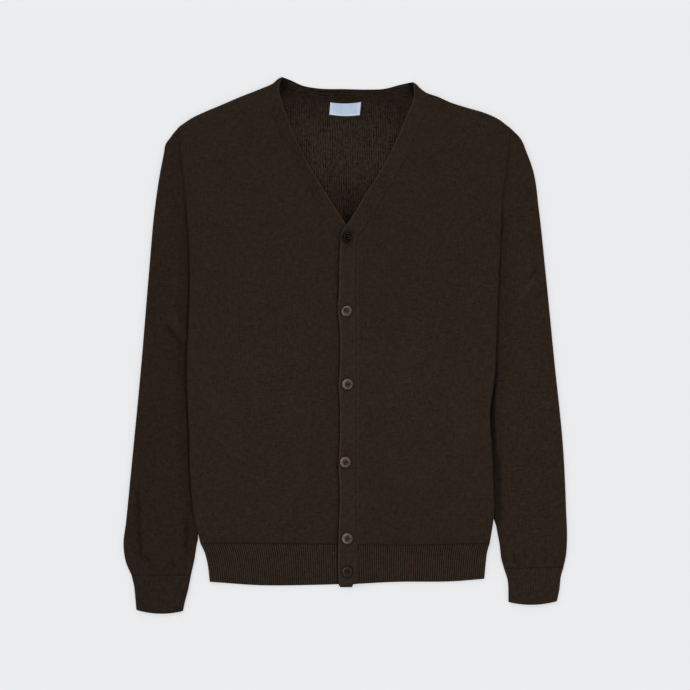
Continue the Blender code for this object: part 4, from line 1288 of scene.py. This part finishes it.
HEM_FOLD = (0.1, 0.3, 0.6, 1.0, 1.5, 2.2)
RIB_FADE = 1.6          # over which the ribs rise at both ends of their length
HEM_SIDE_FADE = 3.0
HEM_AT_BAND = (-276.0, -330.0)      # y of the hem rib's top and edge at the front bands
RIB_SAMPLES = 8


def ribbed_shares(length, pitch, fold_at=()):
    """Even shares along a ribbed edge with the count of ribs at each."""
    count = max(2, round(length / pitch))
    shares = np.linspace(0, 1, RIB_SAMPLES * count + 1)
    for fold, start in fold_at:
        extra = np.array(fold) / length
        shares = np.concatenate((shares, extra if start else 1 - extra))
    shares = np.unique(np.round(shares, 7))
    return shares, shares * count


def fading(shares, length, reach):
    """1 along a length and 0 at both ends of it."""
    return smooth(np.minimum(shares, 1 - shares) * length / reach)


def rib_map(phase, along, wale):
    """Two columns of stitches to each rib, one of them on its crest."""
    return np.column_stack(((2 * phase - 0.5) * wale, along))


def ribs_of(context):
    """The ribs' finish, and a call that grows them on a finished piece."""
    knit, rib = context.scene.cardigan_knit, context.scene.cardigan_rib
    face = finish_named("knit_rib", knit_finish, rib.colour, knit, "rib")
    growth = rib_growth()
    sizes = {"Rib Height": rib.height, "Rib Fullness": rib.fullness}
    return face, lambda piece: growth.grown(piece, face, sizes)


class CARDIGAN_OT_hem_rib(bpy.types.Operator):
    """Ribbed hem: the back half and both front halves"""

    bl_idname = "cardigan.hem_rib"
    bl_label = "Hem Rib"

    def execute(self, context):
        knit, rib = context.scene.cardigan_knit, context.scene.cardigan_rib
        pitch, wale = rib.pitch / MM, knit.wale / MM
        ribs = ribs_of(context)
        low = Line(hem_edge.points + (0, 1.0), smooth=False)
        across, phase = ribbed_shares(hem_seam.length, 2 * pitch,
                                      ((HEM_FOLD, True), (HEM_FOLD, False)))
        self.make("back", (hem_seam, low, rib_side_left, rib_side_right), across,
                  2 * phase, wale, ribs)
        for hand, _, _, side, band_rows, mirrored in FRONTS:
            _, band = band_seam_line(band_rows)
            band = band.between(*(band.share_near((band.x_at(y), y)) for y in HEM_AT_BAND))
            top = beside(hem_seam, band.points[0], mirrored)
            low = beside(hem_edge, band.points[-1], mirrored)
            across, phase = ribbed_shares(top.length, pitch, ((HEM_FOLD, not mirrored),))
            self.make("front_" + hand, (top, low, *in_order(mirrored, band, side)), across,
                      phase, wale, ribs)
        return {"FINISHED"}

    def make(self, name, lines, across, phase, wale, ribs):
        """One ribbed part between its top, edge and sides; the back's ribs lie flat."""
        face, grow = ribs
        down = stops(HEM_DEPTH, RIB_STOPS, 3.2)
        grid = patch(*lines, across, down)
        points = grid.reshape(-1, 2)
        fall = edge_rounding(grid, (0.4, 0.95, 0, 0))
        if name == "back":
            sides = thinned(lower_surface(points, RIB_WALL), fall, -1)
            raised, width, rests_on = 0, 0.405, ["floor"]
        else:
            sides = thinned(upper_surface(points, RIB_BASE + RIB_WALL, RIB_WALL,
                                          name == "front_right"), fall)
            raised, width, rests_on = 1, 0.215, ["hem_back"]
        tone = hem_tone(points)
        if name == "front_left":
            tone = tone * step_tone(points)
        every = np.tile(phase, len(down))
        mask = (np.repeat(fading(down, HEM_DEPTH, RIB_FADE), len(across))
                * smooth(read_rims(points)[0] / HEM_SIDE_FADE))
        ribbed = np.concatenate((raised * mask, 0.5 * mask))
        cloth_piece("hem_" + name, "hem_rib_" + name, "rib", (face, face), sides, grid,
                    rib_map(every, points[:, 1], wale), (width, 0.062), rests_on,
                    grow=grow, tone=tone,
                    attributes=(("rib", np.tile(every, 2)), ("ribbed", ribbed)))


# ---------------------------------------------------------------- sleeves and cuffs
SLEEVES = (             # piece, outer edge, body's side, inner fold, on viewer's right
    ("left", SLEEVE_OUTER_LEFT, side_left, SLEEVE_INNER_LEFT, False),
    ("right", SLEEVE_OUTER_RIGHT, side_right, SLEEVE_INNER_RIGHT, True),
)
PANEL_ROWS = stops(BACK_LENGTH, (0, 0.45, 1.5, 3.2, 8, 17), 40)     # rows of the solid's side


SEWN_DOWN_TO = 116      # y of the last row that is sewn to the body
TUCKED_ROWS = np.linspace(104, -215, 10)
SLEEVE_STEP = 4.0


def sleeve_rows(outer_line, side, shown, mirrored):
    """Inner and outer end of each row across the sleeve, and how many rows are sewn on."""
    outward = 1.0 if mirrored else -1.0
    seam = side.at(PANEL_ROWS)[np.r_[0, 5:len(PANEL_ROWS)]]
    seam = seam[seam[:, 1] > SEWN_DOWN_TO]
    seam[:, 0] -= outward * SEWN_TUCK * base_height(seam) / BODY_OVER_SLEEVE
    tuck = outward * table_at(TUCK, TUCKED_ROWS)
    hidden = np.column_stack((side.x_at(TUCKED_ROWS) - tuck, TUCKED_ROWS))
    fold = Line(np.vstack((seam, hidden, np.array(shown, float))), smooth=False)
    sewn = fold.reach[len(seam) - 1] / fold.length
    shares = np.linspace(0, 1, round(fold.length / SLEEVE_STEP))
    inner = fold.at(shares)
    outer_y = np.minimum(inner[:, 1], outer_line.points[0, 1])
    near_cuff = smooth((shares - 0.96) / 0.04)
    outer_y += (outer_line.points[-1, 1] - inner[-1, 1]) * near_cuff
    outer = np.column_stack((outer_line.x_at(outer_y), outer_y))
    return inner, outer, shares <= sewn + 1e-6


def row_stops(width, edge):
    """Places across one row: the inner fold, the body's edge, then the outer fold."""
    fold = min(3.6, width * 0.45)
    edge = min(max(edge, 7.0), width * 0.5)
    start = min(3.6, edge * 0.9)
    hidden = np.array((0, 0.02, 0.08, 0.2, 0.45, 1.0)) * start
    shown = width - fold * np.array((1, 0.72, 0.48, 0.28, 0.13, 0.04, 0))
    beside = edge + np.array((1.2, 2.4, 3.8, 5.4)) * min(1.0, (shown[0] - edge) / 8)
    return np.concatenate((hidden, start + (edge - start) * np.linspace(0, 1, 9)[1:],
                           beside,
                           np.linspace(beside[-1], shown[0], 26)[1:], shown[1:]))


def sleeve_stack(points, side, mirrored, free_from, low_edge):
    """Thickness of the flattened sleeve: thin under the body, fuller where it shows."""
    x, y = points[:, 0], points[:, 1]
    line = side.x_at(y)
    out = (x - line) if mirrored else (line - x)
    groove = table_at(GROOVE_RIGHT, y) if mirrored else np.zeros(len(y))
    rise = 15.0 - 9.0 * smooth(groove / 8)
    free = smooth((free_from - y) / 25)
    shown = np.maximum(smooth((out - 4 - groove) / rise), free)
    loose = LOOSE_SLEEVE + (CUFF_STACK - LOOSE_SLEEVE) * smooth((low_edge + 40 - y) / 40)
    cap = smooth((side.points[0, 1] - y) / 40)
    loose = TUCKED_SLEEVE + 0.9 + (loose - TUCKED_SLEEVE - 0.9) * cap
    return TUCKED_SLEEVE + (loose - TUCKED_SLEEVE) * shown


def line_fold(points, line, curl, radius):
    """Fall and tilt of a sheet that is folded over along a line."""
    _, _, distance = nearest_place(line, points)
    return turned(distance, curl, radius)[1:]


def leaning(lean, up):
    """Unit vectors that lean along X and otherwise point up or down."""
    return np.column_stack((lean, np.zeros(len(lean)),
                            up * np.sqrt(np.clip(1 - lean**2, 0, 1))))


def folded_wall(rows, columns, closed):
    """Kept points of the lower grid, and the quads of an upper and a lower grid that
    share their outer ends and, where closed, their inner ends."""
    first_low = 1 if closed else 0
    width = columns - 1 - first_low
    index = np.arange(rows * columns).reshape(rows, columns)
    low = index.copy()
    low[:, first_low:-1] = rows * columns + np.arange(rows * width).reshape(rows, width)
    under = np.column_stack((low[:-1, :-1].ravel(), low[1:, :-1].ravel(),
                             low[1:, 1:].ravel(), low[:-1, 1:].ravel()))
    return index[:, first_low:-1].ravel(), np.vstack((quads_of(rows, columns), under))


def sleeve_map(points, outer_rows):
    """The knit of a sleeve runs along its outer fold."""
    rows = np.array(outer_rows, float)
    start, end = rows[4], rows[8]
    along = (start - end) / np.linalg.norm(start - end)
    across = np.array((along[1], -along[0]))
    return np.column_stack((points[:, :2] @ across, points[:, :2] @ along))


class CARDIGAN_OT_sleeves(bpy.types.Operator):
    """Both sleeves, flattened, with their inner part tucked under the body"""

    bl_idname = "cardigan.sleeves"
    bl_label = "Sleeves"

    def execute(self, context):
        materials = knit_pair(context.scene.cardigan_knit)
        for hand, outer_rows, side, shown, mirrored in SLEEVES:
            inner, outer, sewn = sleeve_rows(Line(outer_rows), side, shown, mirrored)
            rows = []
            for first, last in zip(inner, outer):
                width = np.linalg.norm(last - first)
                edge = abs(float(side.x_at(first[1])) - first[0])
                share = row_stops(width, edge)[:, None] / width
                rows.append(first * (1 - share) + last * share)
            grid = np.array(rows)
            points = grid.reshape(-1, 2)
            columns, count = grid.shape[1], len(points)
            stack = sleeve_stack(points, side, mirrored, shown[0][1], outer[-1, 1])
            inner_stack, *_, outer_stack = stack.reshape(-1, columns).T
            outer_stack = outer_stack.repeat(columns)
            width = np.linalg.norm(outer - inner, axis=1).repeat(columns)
            radius = np.minimum(outer_stack / 2, width * 0.45)
            tubed = np.repeat(~sewn, columns)
            fall_out, tilt_out = line_fold(points, Line(outer, smooth=False),
                                           np.ones(count), radius)
            fall_in, tilt_in = line_fold(points, Line(inner, smooth=False),
                                         np.where(tubed, 1.0, 0.2),
                                         inner_stack.repeat(columns) / 2)
            fall_out *= outer_stack / (2 * radius)
            sign = 1.0 if mirrored else -1.0
            lean = sign * (np.sin(tilt_out) - np.sin(tilt_in))
            lean_low = sign * (np.sin(tilt_out) - np.where(tubed, np.sin(tilt_in), 0))
            rise = waves("sleeve_" + hand, points) * still_at_edges(grid, 9)
            rise = np.clip(rise, -1.4, 1.2) * smooth((stack - TUCKED_SLEEVE) / 2.0)
            top = np.column_stack((points, stack - fall_out - fall_in + rise))
            low = np.column_stack((points, fall_out + np.where(tubed, fall_in, 0)))
            top_in = top - CLOTH_WALL * leaning(lean, 1)
            low_in = low - CLOTH_WALL * leaning(lean_low, -1)
            top[:, 2] -= edge_rounding(grid, (0, 0.8, 0, 0))
            keep, quads = folded_wall(*grid.shape[:2], False)
            coords = sleeve_map(points, outer_rows)
            tone = sleeve_tone(points, side, mirrored)
            cloth_piece("sleeve_face_" + hand, "sleeve_" + hand, "knit", materials,
                        (np.vstack((top, low[keep])), np.vstack((top_in, low_in[keep]))),
                        grid, np.vstack((coords, coords[keep])), (0.40, 0.63), ["floor"],
                        quads=quads, layers=2, tone=np.concatenate((tone, tone[keep])))
        return {"FINISHED"}


CUFFS = (               # piece, outer fold, inner fold, on the viewer's right
    ("left", Line(CUFF_OUTER_LEFT), Line(CUFF_INNER_LEFT), False),
    ("right", Line(CUFF_OUTER_RIGHT), Line(CUFF_INNER_RIGHT), True),
)
CUFF_FOLD = (0.08, 0.25, 0.5, 0.8, 1.2, 1.7, 2.4)
CUFF_RELIEF = 0.3       # the cuffs' ribs against the hem's


def bowed(start, end, sag):
    """A line from start to end that hangs down by sag in the middle."""
    t = np.linspace(0, 1, 25)[:, None]
    straight = np.array(start) * (1 - t) + np.array(end) * t
    return Line(straight - np.hstack((0 * t, sag * 4 * t * (1 - t))), smooth=False)


class CARDIGAN_OT_cuffs(bpy.types.Operator):
    """Ribbed cuffs, flattened and open at the hand"""

    bl_idname = "cardigan.cuffs"
    bl_label = "Cuffs"

    def execute(self, context):
        knit, rib = context.scene.cardigan_knit, context.scene.cardigan_rib
        face, grow = ribs_of(context)
        across, phase = ribbed_shares(CUFF_WIDTH, rib.cuff_pitch / MM,
                                      ((CUFF_FOLD, True), (CUFF_FOLD, False)))
        down = stops(CUFF_DEPTH, RIB_STOPS, 3.0)
        for hand, outer_line, inner_line, mirrored in CUFFS:
            first = bowed(inner_line.points[0], outer_line.points[0], 0.0)
            last = bowed(inner_line.points[-1], outer_line.points[-1], CUFF_SAG)
            grid = patch(first, last, inner_line, outer_line, across, down)
            points = grid.reshape(-1, 2)
            curl = np.ones(len(points))
            radius = curl * CUFF_STACK / 2
            fall_out, tilt_out = line_fold(points, outer_line, curl, radius)
            fall_in, tilt_in = line_fold(points, inner_line, curl, radius)
            lean = (1 if mirrored else -1) * (np.sin(tilt_out) - np.sin(tilt_in))
            above, below = leaning(lean, 1), leaning(lean, -1)
            top = np.column_stack((points, CUFF_STACK - fall_out - fall_in))
            low = np.column_stack((points, fall_out + fall_in))
            fall = edge_rounding(grid, (0.7, 0.95, 0, 0))[:, None]
            top_in = top - (RIB_WALL - fall) * above
            low_in = low - (RIB_WALL - fall) * below
            top, low = top - fall * above, low - fall * below
            keep, quads = folded_wall(*grid.shape[:2], True)
            every = np.tile(phase, len(down))
            every = np.concatenate((every, every[keep]))
            along = np.concatenate((points[:, 1], points[keep, 1]))
            mask = np.outer(fading(down, CUFF_DEPTH, RIB_FADE),
                            fading(across, CUFF_WIDTH, CUFF_FOLD[-1])).ravel()
            ribbed = np.zeros(2 * len(every))
            ribbed[:len(mask)] = CUFF_RELIEF * mask
            cloth_piece("cuff_rib_" + hand, "cuff_" + hand, "rib", (face, face),
                        (np.vstack((top, low[keep])), np.vstack((top_in, low_in[keep]))),
                        grid, rib_map(every, along, knit.wale / MM), (0.164, 0.052),
                        ["floor"], quads=quads, layers=2, grow=grow,
                        attributes=(("rib", np.tile(every, 2)), ("ribbed", ribbed)))
        return {"FINISHED"}


# ---------------------------------------------------------------- label and buttons
class CARDIGAN_OT_label(bpy.types.Operator):
    """Bare woven label, sewn on at both ends inside the neck"""

    bl_idname = "cardigan.label"
    bl_label = "Neck Label"

    def execute(self, context):
        made = context.scene.cardigan_label
        satin = finish_named("label_satin", label_finish, made.colour, made.border,
                             LABEL_WEAVE)
        u = stops(LABEL_WIDTH, (0, 0.1, 0.3, 0.6, 1.0, 2.0), 1.2)
        v = stops(LABEL_DEPTH, (0, 0.1, 0.3, 0.55, 0.85, 1.3, 1.7), 1.0)
        uu, vv = np.meshgrid(u, v)
        grid = self.spot(uu[..., None], vv[..., None])
        grid[..., 1] -= LABEL_SAG * 4 * uu * (1 - uu)
        points = grid.reshape(-1, 2)
        sewn = np.abs(uu.ravel() - 0.5) * 2
        ends = (1 - sewn) * LABEL_WIDTH / 2
        low, high = (1 - vv.ravel()) * LABEL_DEPTH, vv.ravel() * LABEL_DEPTH
        over_band = smooth((points[:, 1] - LABEL_ON_BAND) / 4)
        height = CLOTH_WALL + LABEL_AIR + (NECKBAND_WALL - CLOTH_WALL) * over_band
        arch = 0.75 * (1 - sewn**4)
        pinch = 0.18 * np.exp(-(ends / 1.2 - 1.2)**2)
        fall = edge_rounding(grid, (0.25, 0.25, 0.25, 0.25))
        outer = np.column_stack((points,
                                 height + made.wall / MM + arch - pinch - fall))
        inner = np.column_stack((points, height + arch * 0.8 + fall * 0.2))
        border = np.maximum(0.35 * smooth((5.6 - ends) / 2.0),
                            smooth((3.1 - low) / 0.8))
        # Painted shadow along the label's edges, widest along its lower edge, carried by the
        # tone
        shade = np.maximum.reduce((0.92 * smooth((1.7 - low) / 0.4),
                                   0.9 * smooth((0.95 - ends) / 0.3),
                                   0.9 * smooth((0.85 - high) / 0.3)))
        cloth_piece("label", "neck_label", "label", (satin, satin), (outer, inner), grid,
                    points - points.mean(0), (0.0435, 0.0195), ["back", "band_neck"],
                    tone=1 - shade, attributes=(("border", np.tile(border, 2)),))
        stitches = lines_of("label_stitches", [
            on_surface([self.spot(side, t) for t in np.linspace(0.06, 0.94, 10)], 0.12)
            for side in (0.022, 0.978)])
        thread = finish_named("label_thread", yarn_finish, made.stitch, THREAD_TWIST)
        stitch_growth().grown(stitches, thread, {
            "Stitch Length": 0.0019, "Stitch Fill": 0.72, "Stitch Thickness": 0.00038})
        finished(stitches, None, ())
        return {"FINISHED"}

    def spot(self, u, v):
        """Place on the flat label by its shares across and down."""
        a, b, c, d = np.array(LABEL_CORNERS)
        return (1 - v) * ((1 - u) * a + u * b) + v * ((1 - u) * d + u * c)


# Button profile from the middle of its face down to its underside: radius, height
BUTTON_PROFILE = ((0.0, 1.5), (2.6, 1.5), (3.6, 1.52), (4.1, 1.75), (4.7, 2.2),
                  (5.3, 2.5), (5.7, 2.6), (6.1, 2.52), (7.1, 2.12), (7.6, 1.75),
                  (7.8, 1.1), (7.4, 0.4), (6.4, 0.0), (3.0, 0.0), (0.0, 0.0))
BUTTON_SIDES = 56
BUTTON_TONES = {        # tone of the middle, crown of the rim and holes: painted shade in the sunken middle and the holes, a painted highlight on the crown
    "horn": (0.50, 1.0, 0.01), "charcoal": (1.0, 5.0, 0.03), "dark": (1.1, 2.6, 0.3)}
BUTTON_GLOSS = {"horn": 0.10, "charcoal": 0.03, "dark": 0.04}
PAINTED_LIT_SIDE = 0.3              # painted light: how much lighter a button is on its side toward the key light
HOLE_SIDES = 14


class CARDIGAN_OT_buttons(bpy.types.Operator):
    """Six four-hole buttons with a raised rim, and the thread that holds them"""

    bl_idname = "cardigan.buttons"
    bl_label = "Buttons"

    def execute(self, context):
        made = context.scene.cardigan_button
        finish = {kind: finish_named("button_" + kind, horn_finish, light,
                                     BUTTON_GLOSS[kind])
                  for kind, light in (("horn", made.horn), ("charcoal", made.charcoal),
                                      ("dark", made.brown))}
        light_yarn = finish_named("button_thread", yarn_finish, made.yarn, THREAD_TWIST)
        dark_yarn = finish_named("button_dark_thread", yarn_finish, made.dark_yarn,
                                 THREAD_TWIST)
        grow = thread_growth()
        scale = made.radius / MM / max(r for r, _ in BUTTON_PROFILE)
        profile = Line([(r * scale, h) for r, h in BUTTON_PROFILE[1:-1]])
        profile = profile.at(np.linspace(0, 1, 30))
        for number, row in enumerate(BUTTONS, start=1):
            x, y, turn, across, along, sink, kind = row
            piece = self.turned_blank(f"horn_button_{number}", profile)
            self.drill(piece, made)
            self.shade(piece.data, made, math.radians(turn), *BUTTON_TONES[kind])
            place = (Matrix.Translation(Vector((x, y, BUTTON_Z - sink)) * MM)
                     @ Matrix.Rotation(math.radians(across), 4, "Y")
                     @ Matrix.Rotation(math.radians(along), 4, "X")
                     @ Matrix.Rotation(math.radians(turn), 4, "Z"))
            piece.data.transform(place)
            for face in piece.data.polygons:
                face.use_smooth = True
            finished(piece, f"button_{number}",
                     (finish[kind],))
            self.sew(place, number, made, grow,
                     dark_yarn if kind == "horn" else light_yarn)
        return {"FINISHED"}

    def turned_blank(self, name, profile):
        """A button without holes, as if turned on a lathe."""
        shell = bmesh.new()
        angles = np.linspace(0, 2 * math.pi, BUTTON_SIDES, endpoint=False)
        rings = [[shell.verts.new((radius * math.cos(a) * MM, radius * math.sin(a) * MM,
                                   height * MM)) for a in angles]
                 for radius, height in profile]
        for upper, lower in zip(rings, rings[1:]):
            for k in range(BUTTON_SIDES):
                step = (k + 1) % BUTTON_SIDES
                shell.faces.new((upper[k], lower[k], lower[step], upper[step]))
        shell.faces.new(rings[0][::-1])
        shell.faces.new(rings[-1])
        bmesh.ops.recalc_face_normals(shell, faces=shell.faces)
        return added(name, mesh_of(name, shell))

    def shade(self, mesh, made, turn, middle, crown, deep):
        """Painted light and shade: the rim's crown carries a painted highlight and is lighter
        than the sunken middle, which is in painted shade like the holes; the side toward the
        key light is painted lighter.
        """
        points = np.array([vertex.co for vertex in mesh.vertices])
        radius = np.linalg.norm(points[:, :2], axis=1) / made.radius
        # Painted shade in the sunken middle, a painted highlight on the crown and painted
        # light on the side toward the key light
        tone = middle + (1 - middle) * smooth((radius - 0.50) / 0.12)
        left = np.cos(np.arctan2(points[:, 1], points[:, 0]) + turn - math.radians(150))
        tone *= (1 + (crown - 1) * hump(radius, 0.74, 0.09)) * (1 + PAINTED_LIT_SIDE * left)
        holes = np.abs(np.abs(points[:, :2]) - made.hole_offset / math.sqrt(2))
        inside = np.linalg.norm(holes, axis=1) < made.hole_radius * 1.05
        set_values(mesh, "tone", np.where(inside & (radius < 0.6), deep, tone))

    def drill(self, piece, made):
        """Cuts the four sewing holes."""
        shell = bmesh.new()
        for quarter in range(4):
            angle = math.pi / 4 + quarter * math.pi / 2
            hole = bmesh.ops.create_cone(shell, cap_ends=True, segments=HOLE_SIDES,
                                         radius1=made.hole_radius,
                                         radius2=made.hole_radius, depth=0.012)
            bmesh.ops.translate(shell, verts=hole["verts"],
                                vec=(made.hole_offset * math.cos(angle),
                                     made.hole_offset * math.sin(angle), 0))
        cutter = added("holes", mesh_of("holes", shell))
        cut = piece.modifiers.new("holes", "BOOLEAN")
        cut.operation, cut.solver, cut.object = "DIFFERENCE", "EXACT", cutter
        applied(piece, cut)
        bpy.data.meshes.remove(cutter.data)

    def sew(self, place, number, made, grow, yarn):
        """Two strands across each pair of holes, sunk into them at the ends."""
        reach = made.hole_offset / math.sqrt(2) / MM
        strands = []
        for side in (-1, 1):
            for beside in (-0.32, 0.32):
                strand = []
                for t in np.linspace(-1, 1, 15):
                    along = reach * 1.12 * math.sin(t * math.pi / 2)
                    high = (1.75 + 0.62 * (1 - abs(t)**5)
                            - 1.6 * max(0, abs(t) - 0.86) / 0.14)
                    aside = side * reach + beside * (1 - 0.4 * abs(t))
                    strand.append(place @ (Vector((along, aside, high)) * MM) / MM)
                strands.append(strand)
        piece = lines_of(f"button_thread_{number}", strands)
        grow.grown(piece, yarn, {"Thread Thickness": made.thread * 0.8})
        finished(piece, None, ())


# ---------------------------------------------------------------- seams
ARMHOLE_END = 112.0     # y where the armhole's seam passes out of sight


class CARDIGAN_OT_seams(bpy.types.Operator):
    """Linking stitches along the sewn edges"""

    bl_idname = "cardigan.seams"
    bl_label = "Seams"

    def execute(self, context):
        knit = context.scene.cardigan_knit
        yarn = finish_named("linking_yarn", yarn_finish, knit.seam, YARN_TWIST)
        band_yarn = finish_named("band_yarn", yarn_finish, scaled(knit.band, 1.1),
                                 YARN_TWIST)
        grow = stitch_growth()
        for name, lines, values, finish in self.rows(yarn, band_yarn):
            piece = lines_of(name, lines)
            grow.grown(piece, finish, values)
            finished(piece, None, ())
        return {"FINISHED"}

    def rows(self, yarn, band_yarn):
        """Piece, its lines on the cloth, its stitch sizes and its yarn."""
        fine = {"Stitch Length": 0.0016, "Stitch Thickness": 0.0007, "Stitch Fill": 1.25,
                "Stitch Turn": 0.5}
        seams = []
        for name, rows, side in (("band_seam_left", V_SEAM_LEFT, 1),
                                 ("band_seam_right", V_SEAM_RIGHT, -1)):
            run = band_seam_line(rows)[0].between(0.012, 1).moved(side * 0.15)
            run = run.at(np.linspace(0, 1, round(run.length / 3)))
            seams.append((name, [on_surface(run, -0.5)], fine, band_yarn))
        neck = Line(NECK_SEAM).between(0.13, 0.87).at(np.linspace(0, 1, 80))
        seams.append(("band_neck_seam", [on_surface(neck, -0.3),
                                         on_surface(neck + (0, 2.6), -0.2)], fine, yarn))
        for name, line, out in (("armhole_seam_left", side_left, -1),
                                ("armhole_seam_right", side_right, 1)):
            low = line.share_near((line.x_at(ARMHOLE_END), ARMHOLE_END))
            run = line.between(0.02, low).moved(out * 0.15)
            run = run.at(np.linspace(0, 1, 60))
            seams.append((name, [on_surface(run, -0.75)], fine, yarn))
        return seams


# ---------------------------------------------------------------- stage
KEY_PLACE = (-1.2, 1.9, 2.6)
LENS, SENSOR = 100.0, 36.0


class CARDIGAN_OT_stage(bpy.types.Operator):
    """Plain pale floor, soft studio light and the camera straight above"""

    bl_idname = "cardigan.stage"
    bl_label = "Stage"

    def execute(self, context):
        made = context.scene.cardigan_stage
        shell = bmesh.new()
        bmesh.ops.create_grid(shell, x_segments=8, y_segments=8, size=made.floor_size / 2)
        floor = added("floor", mesh_of("floor", shell))
        floor.data.materials.append(finish_named("floor_paper", floor_finish, made.floor,
                                                 made.glow))
        floor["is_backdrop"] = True
        lamp = bpy.data.lights.new("key", "SUN")
        lamp.energy, lamp.angle = made.key, made.key_spread
        key = added("key", lamp)
        key.location = KEY_PLACE
        key.rotation_euler = (-key.location).to_track_quat("-Z", "Y").to_euler()
        sky = bpy.data.worlds.new("sky")
        sky.use_nodes = True
        air = sky.node_tree.nodes["Background"]
        air.inputs["Color"].default_value = (1.0, 1.0, 1.0, 1)
        air.inputs["Strength"].default_value = made.sky
        context.scene.world = sky
        lens = bpy.data.cameras.new("camera")
        lens.lens, lens.sensor_width = LENS, SENSOR
        lens.clip_end = 100.0
        camera = added("camera", lens)
        camera.location = (0, 0, made.view_height)
        context.scene.camera = camera
        context.scene.view_settings.view_transform = "Standard"
        return {"FINISHED"}


class CARDIGAN_PT_panel(bpy.types.Panel):
    """Lists the pieces in the order in which they are made"""

    bl_label = "Cardigan"
    bl_idname = "CARDIGAN_PT_panel"
    bl_space_type = "VIEW_3D"
    bl_region_type = "UI"
    bl_category = "Cardigan"

    def draw(self, context):
        for name, _ in SETTINGS:
            box = self.layout.box()
            group = getattr(context.scene, name)
            for field in group.bl_rna.properties.keys():
                if field not in ("rna_type", "name"):
                    box.prop(group, field)
        for step in STEPS:
            self.layout.operator(step.bl_idname)


SETTINGS = (("cardigan_knit", KnitSettings), ("cardigan_rib", RibSettings),
            ("cardigan_button", ButtonSettings), ("cardigan_label", LabelSettings),
            ("cardigan_stage", StageSettings))
STEPS = (CARDIGAN_OT_stage, CARDIGAN_OT_back_panel, CARDIGAN_OT_neckband,
         CARDIGAN_OT_sleeves, CARDIGAN_OT_cuffs, CARDIGAN_OT_hem_rib, CARDIGAN_OT_fronts,
         CARDIGAN_OT_front_bands, CARDIGAN_OT_seams, CARDIGAN_OT_label,
         CARDIGAN_OT_buttons)


def register():
    """Adds the settings, the steps and the panel to Blender."""
    for name, group in SETTINGS:
        bpy.utils.register_class(group)
        setattr(bpy.types.Scene, name, bpy.props.PointerProperty(type=group))
    for kind in (*STEPS, CARDIGAN_PT_panel):
        bpy.utils.register_class(kind)


def unregister():
    """Takes them out again."""
    for kind in (CARDIGAN_PT_panel, *reversed(STEPS)):
        bpy.utils.unregister_class(kind)
    for name, group in reversed(SETTINGS):
        delattr(bpy.types.Scene, name)
        bpy.utils.unregister_class(group)


def main():
    """Makes every piece."""
    register()
    for step in STEPS:
        family, name = step.bl_idname.split(".")
        getattr(getattr(bpy.ops, family), name)()


if __name__ == "__main__":
    main()
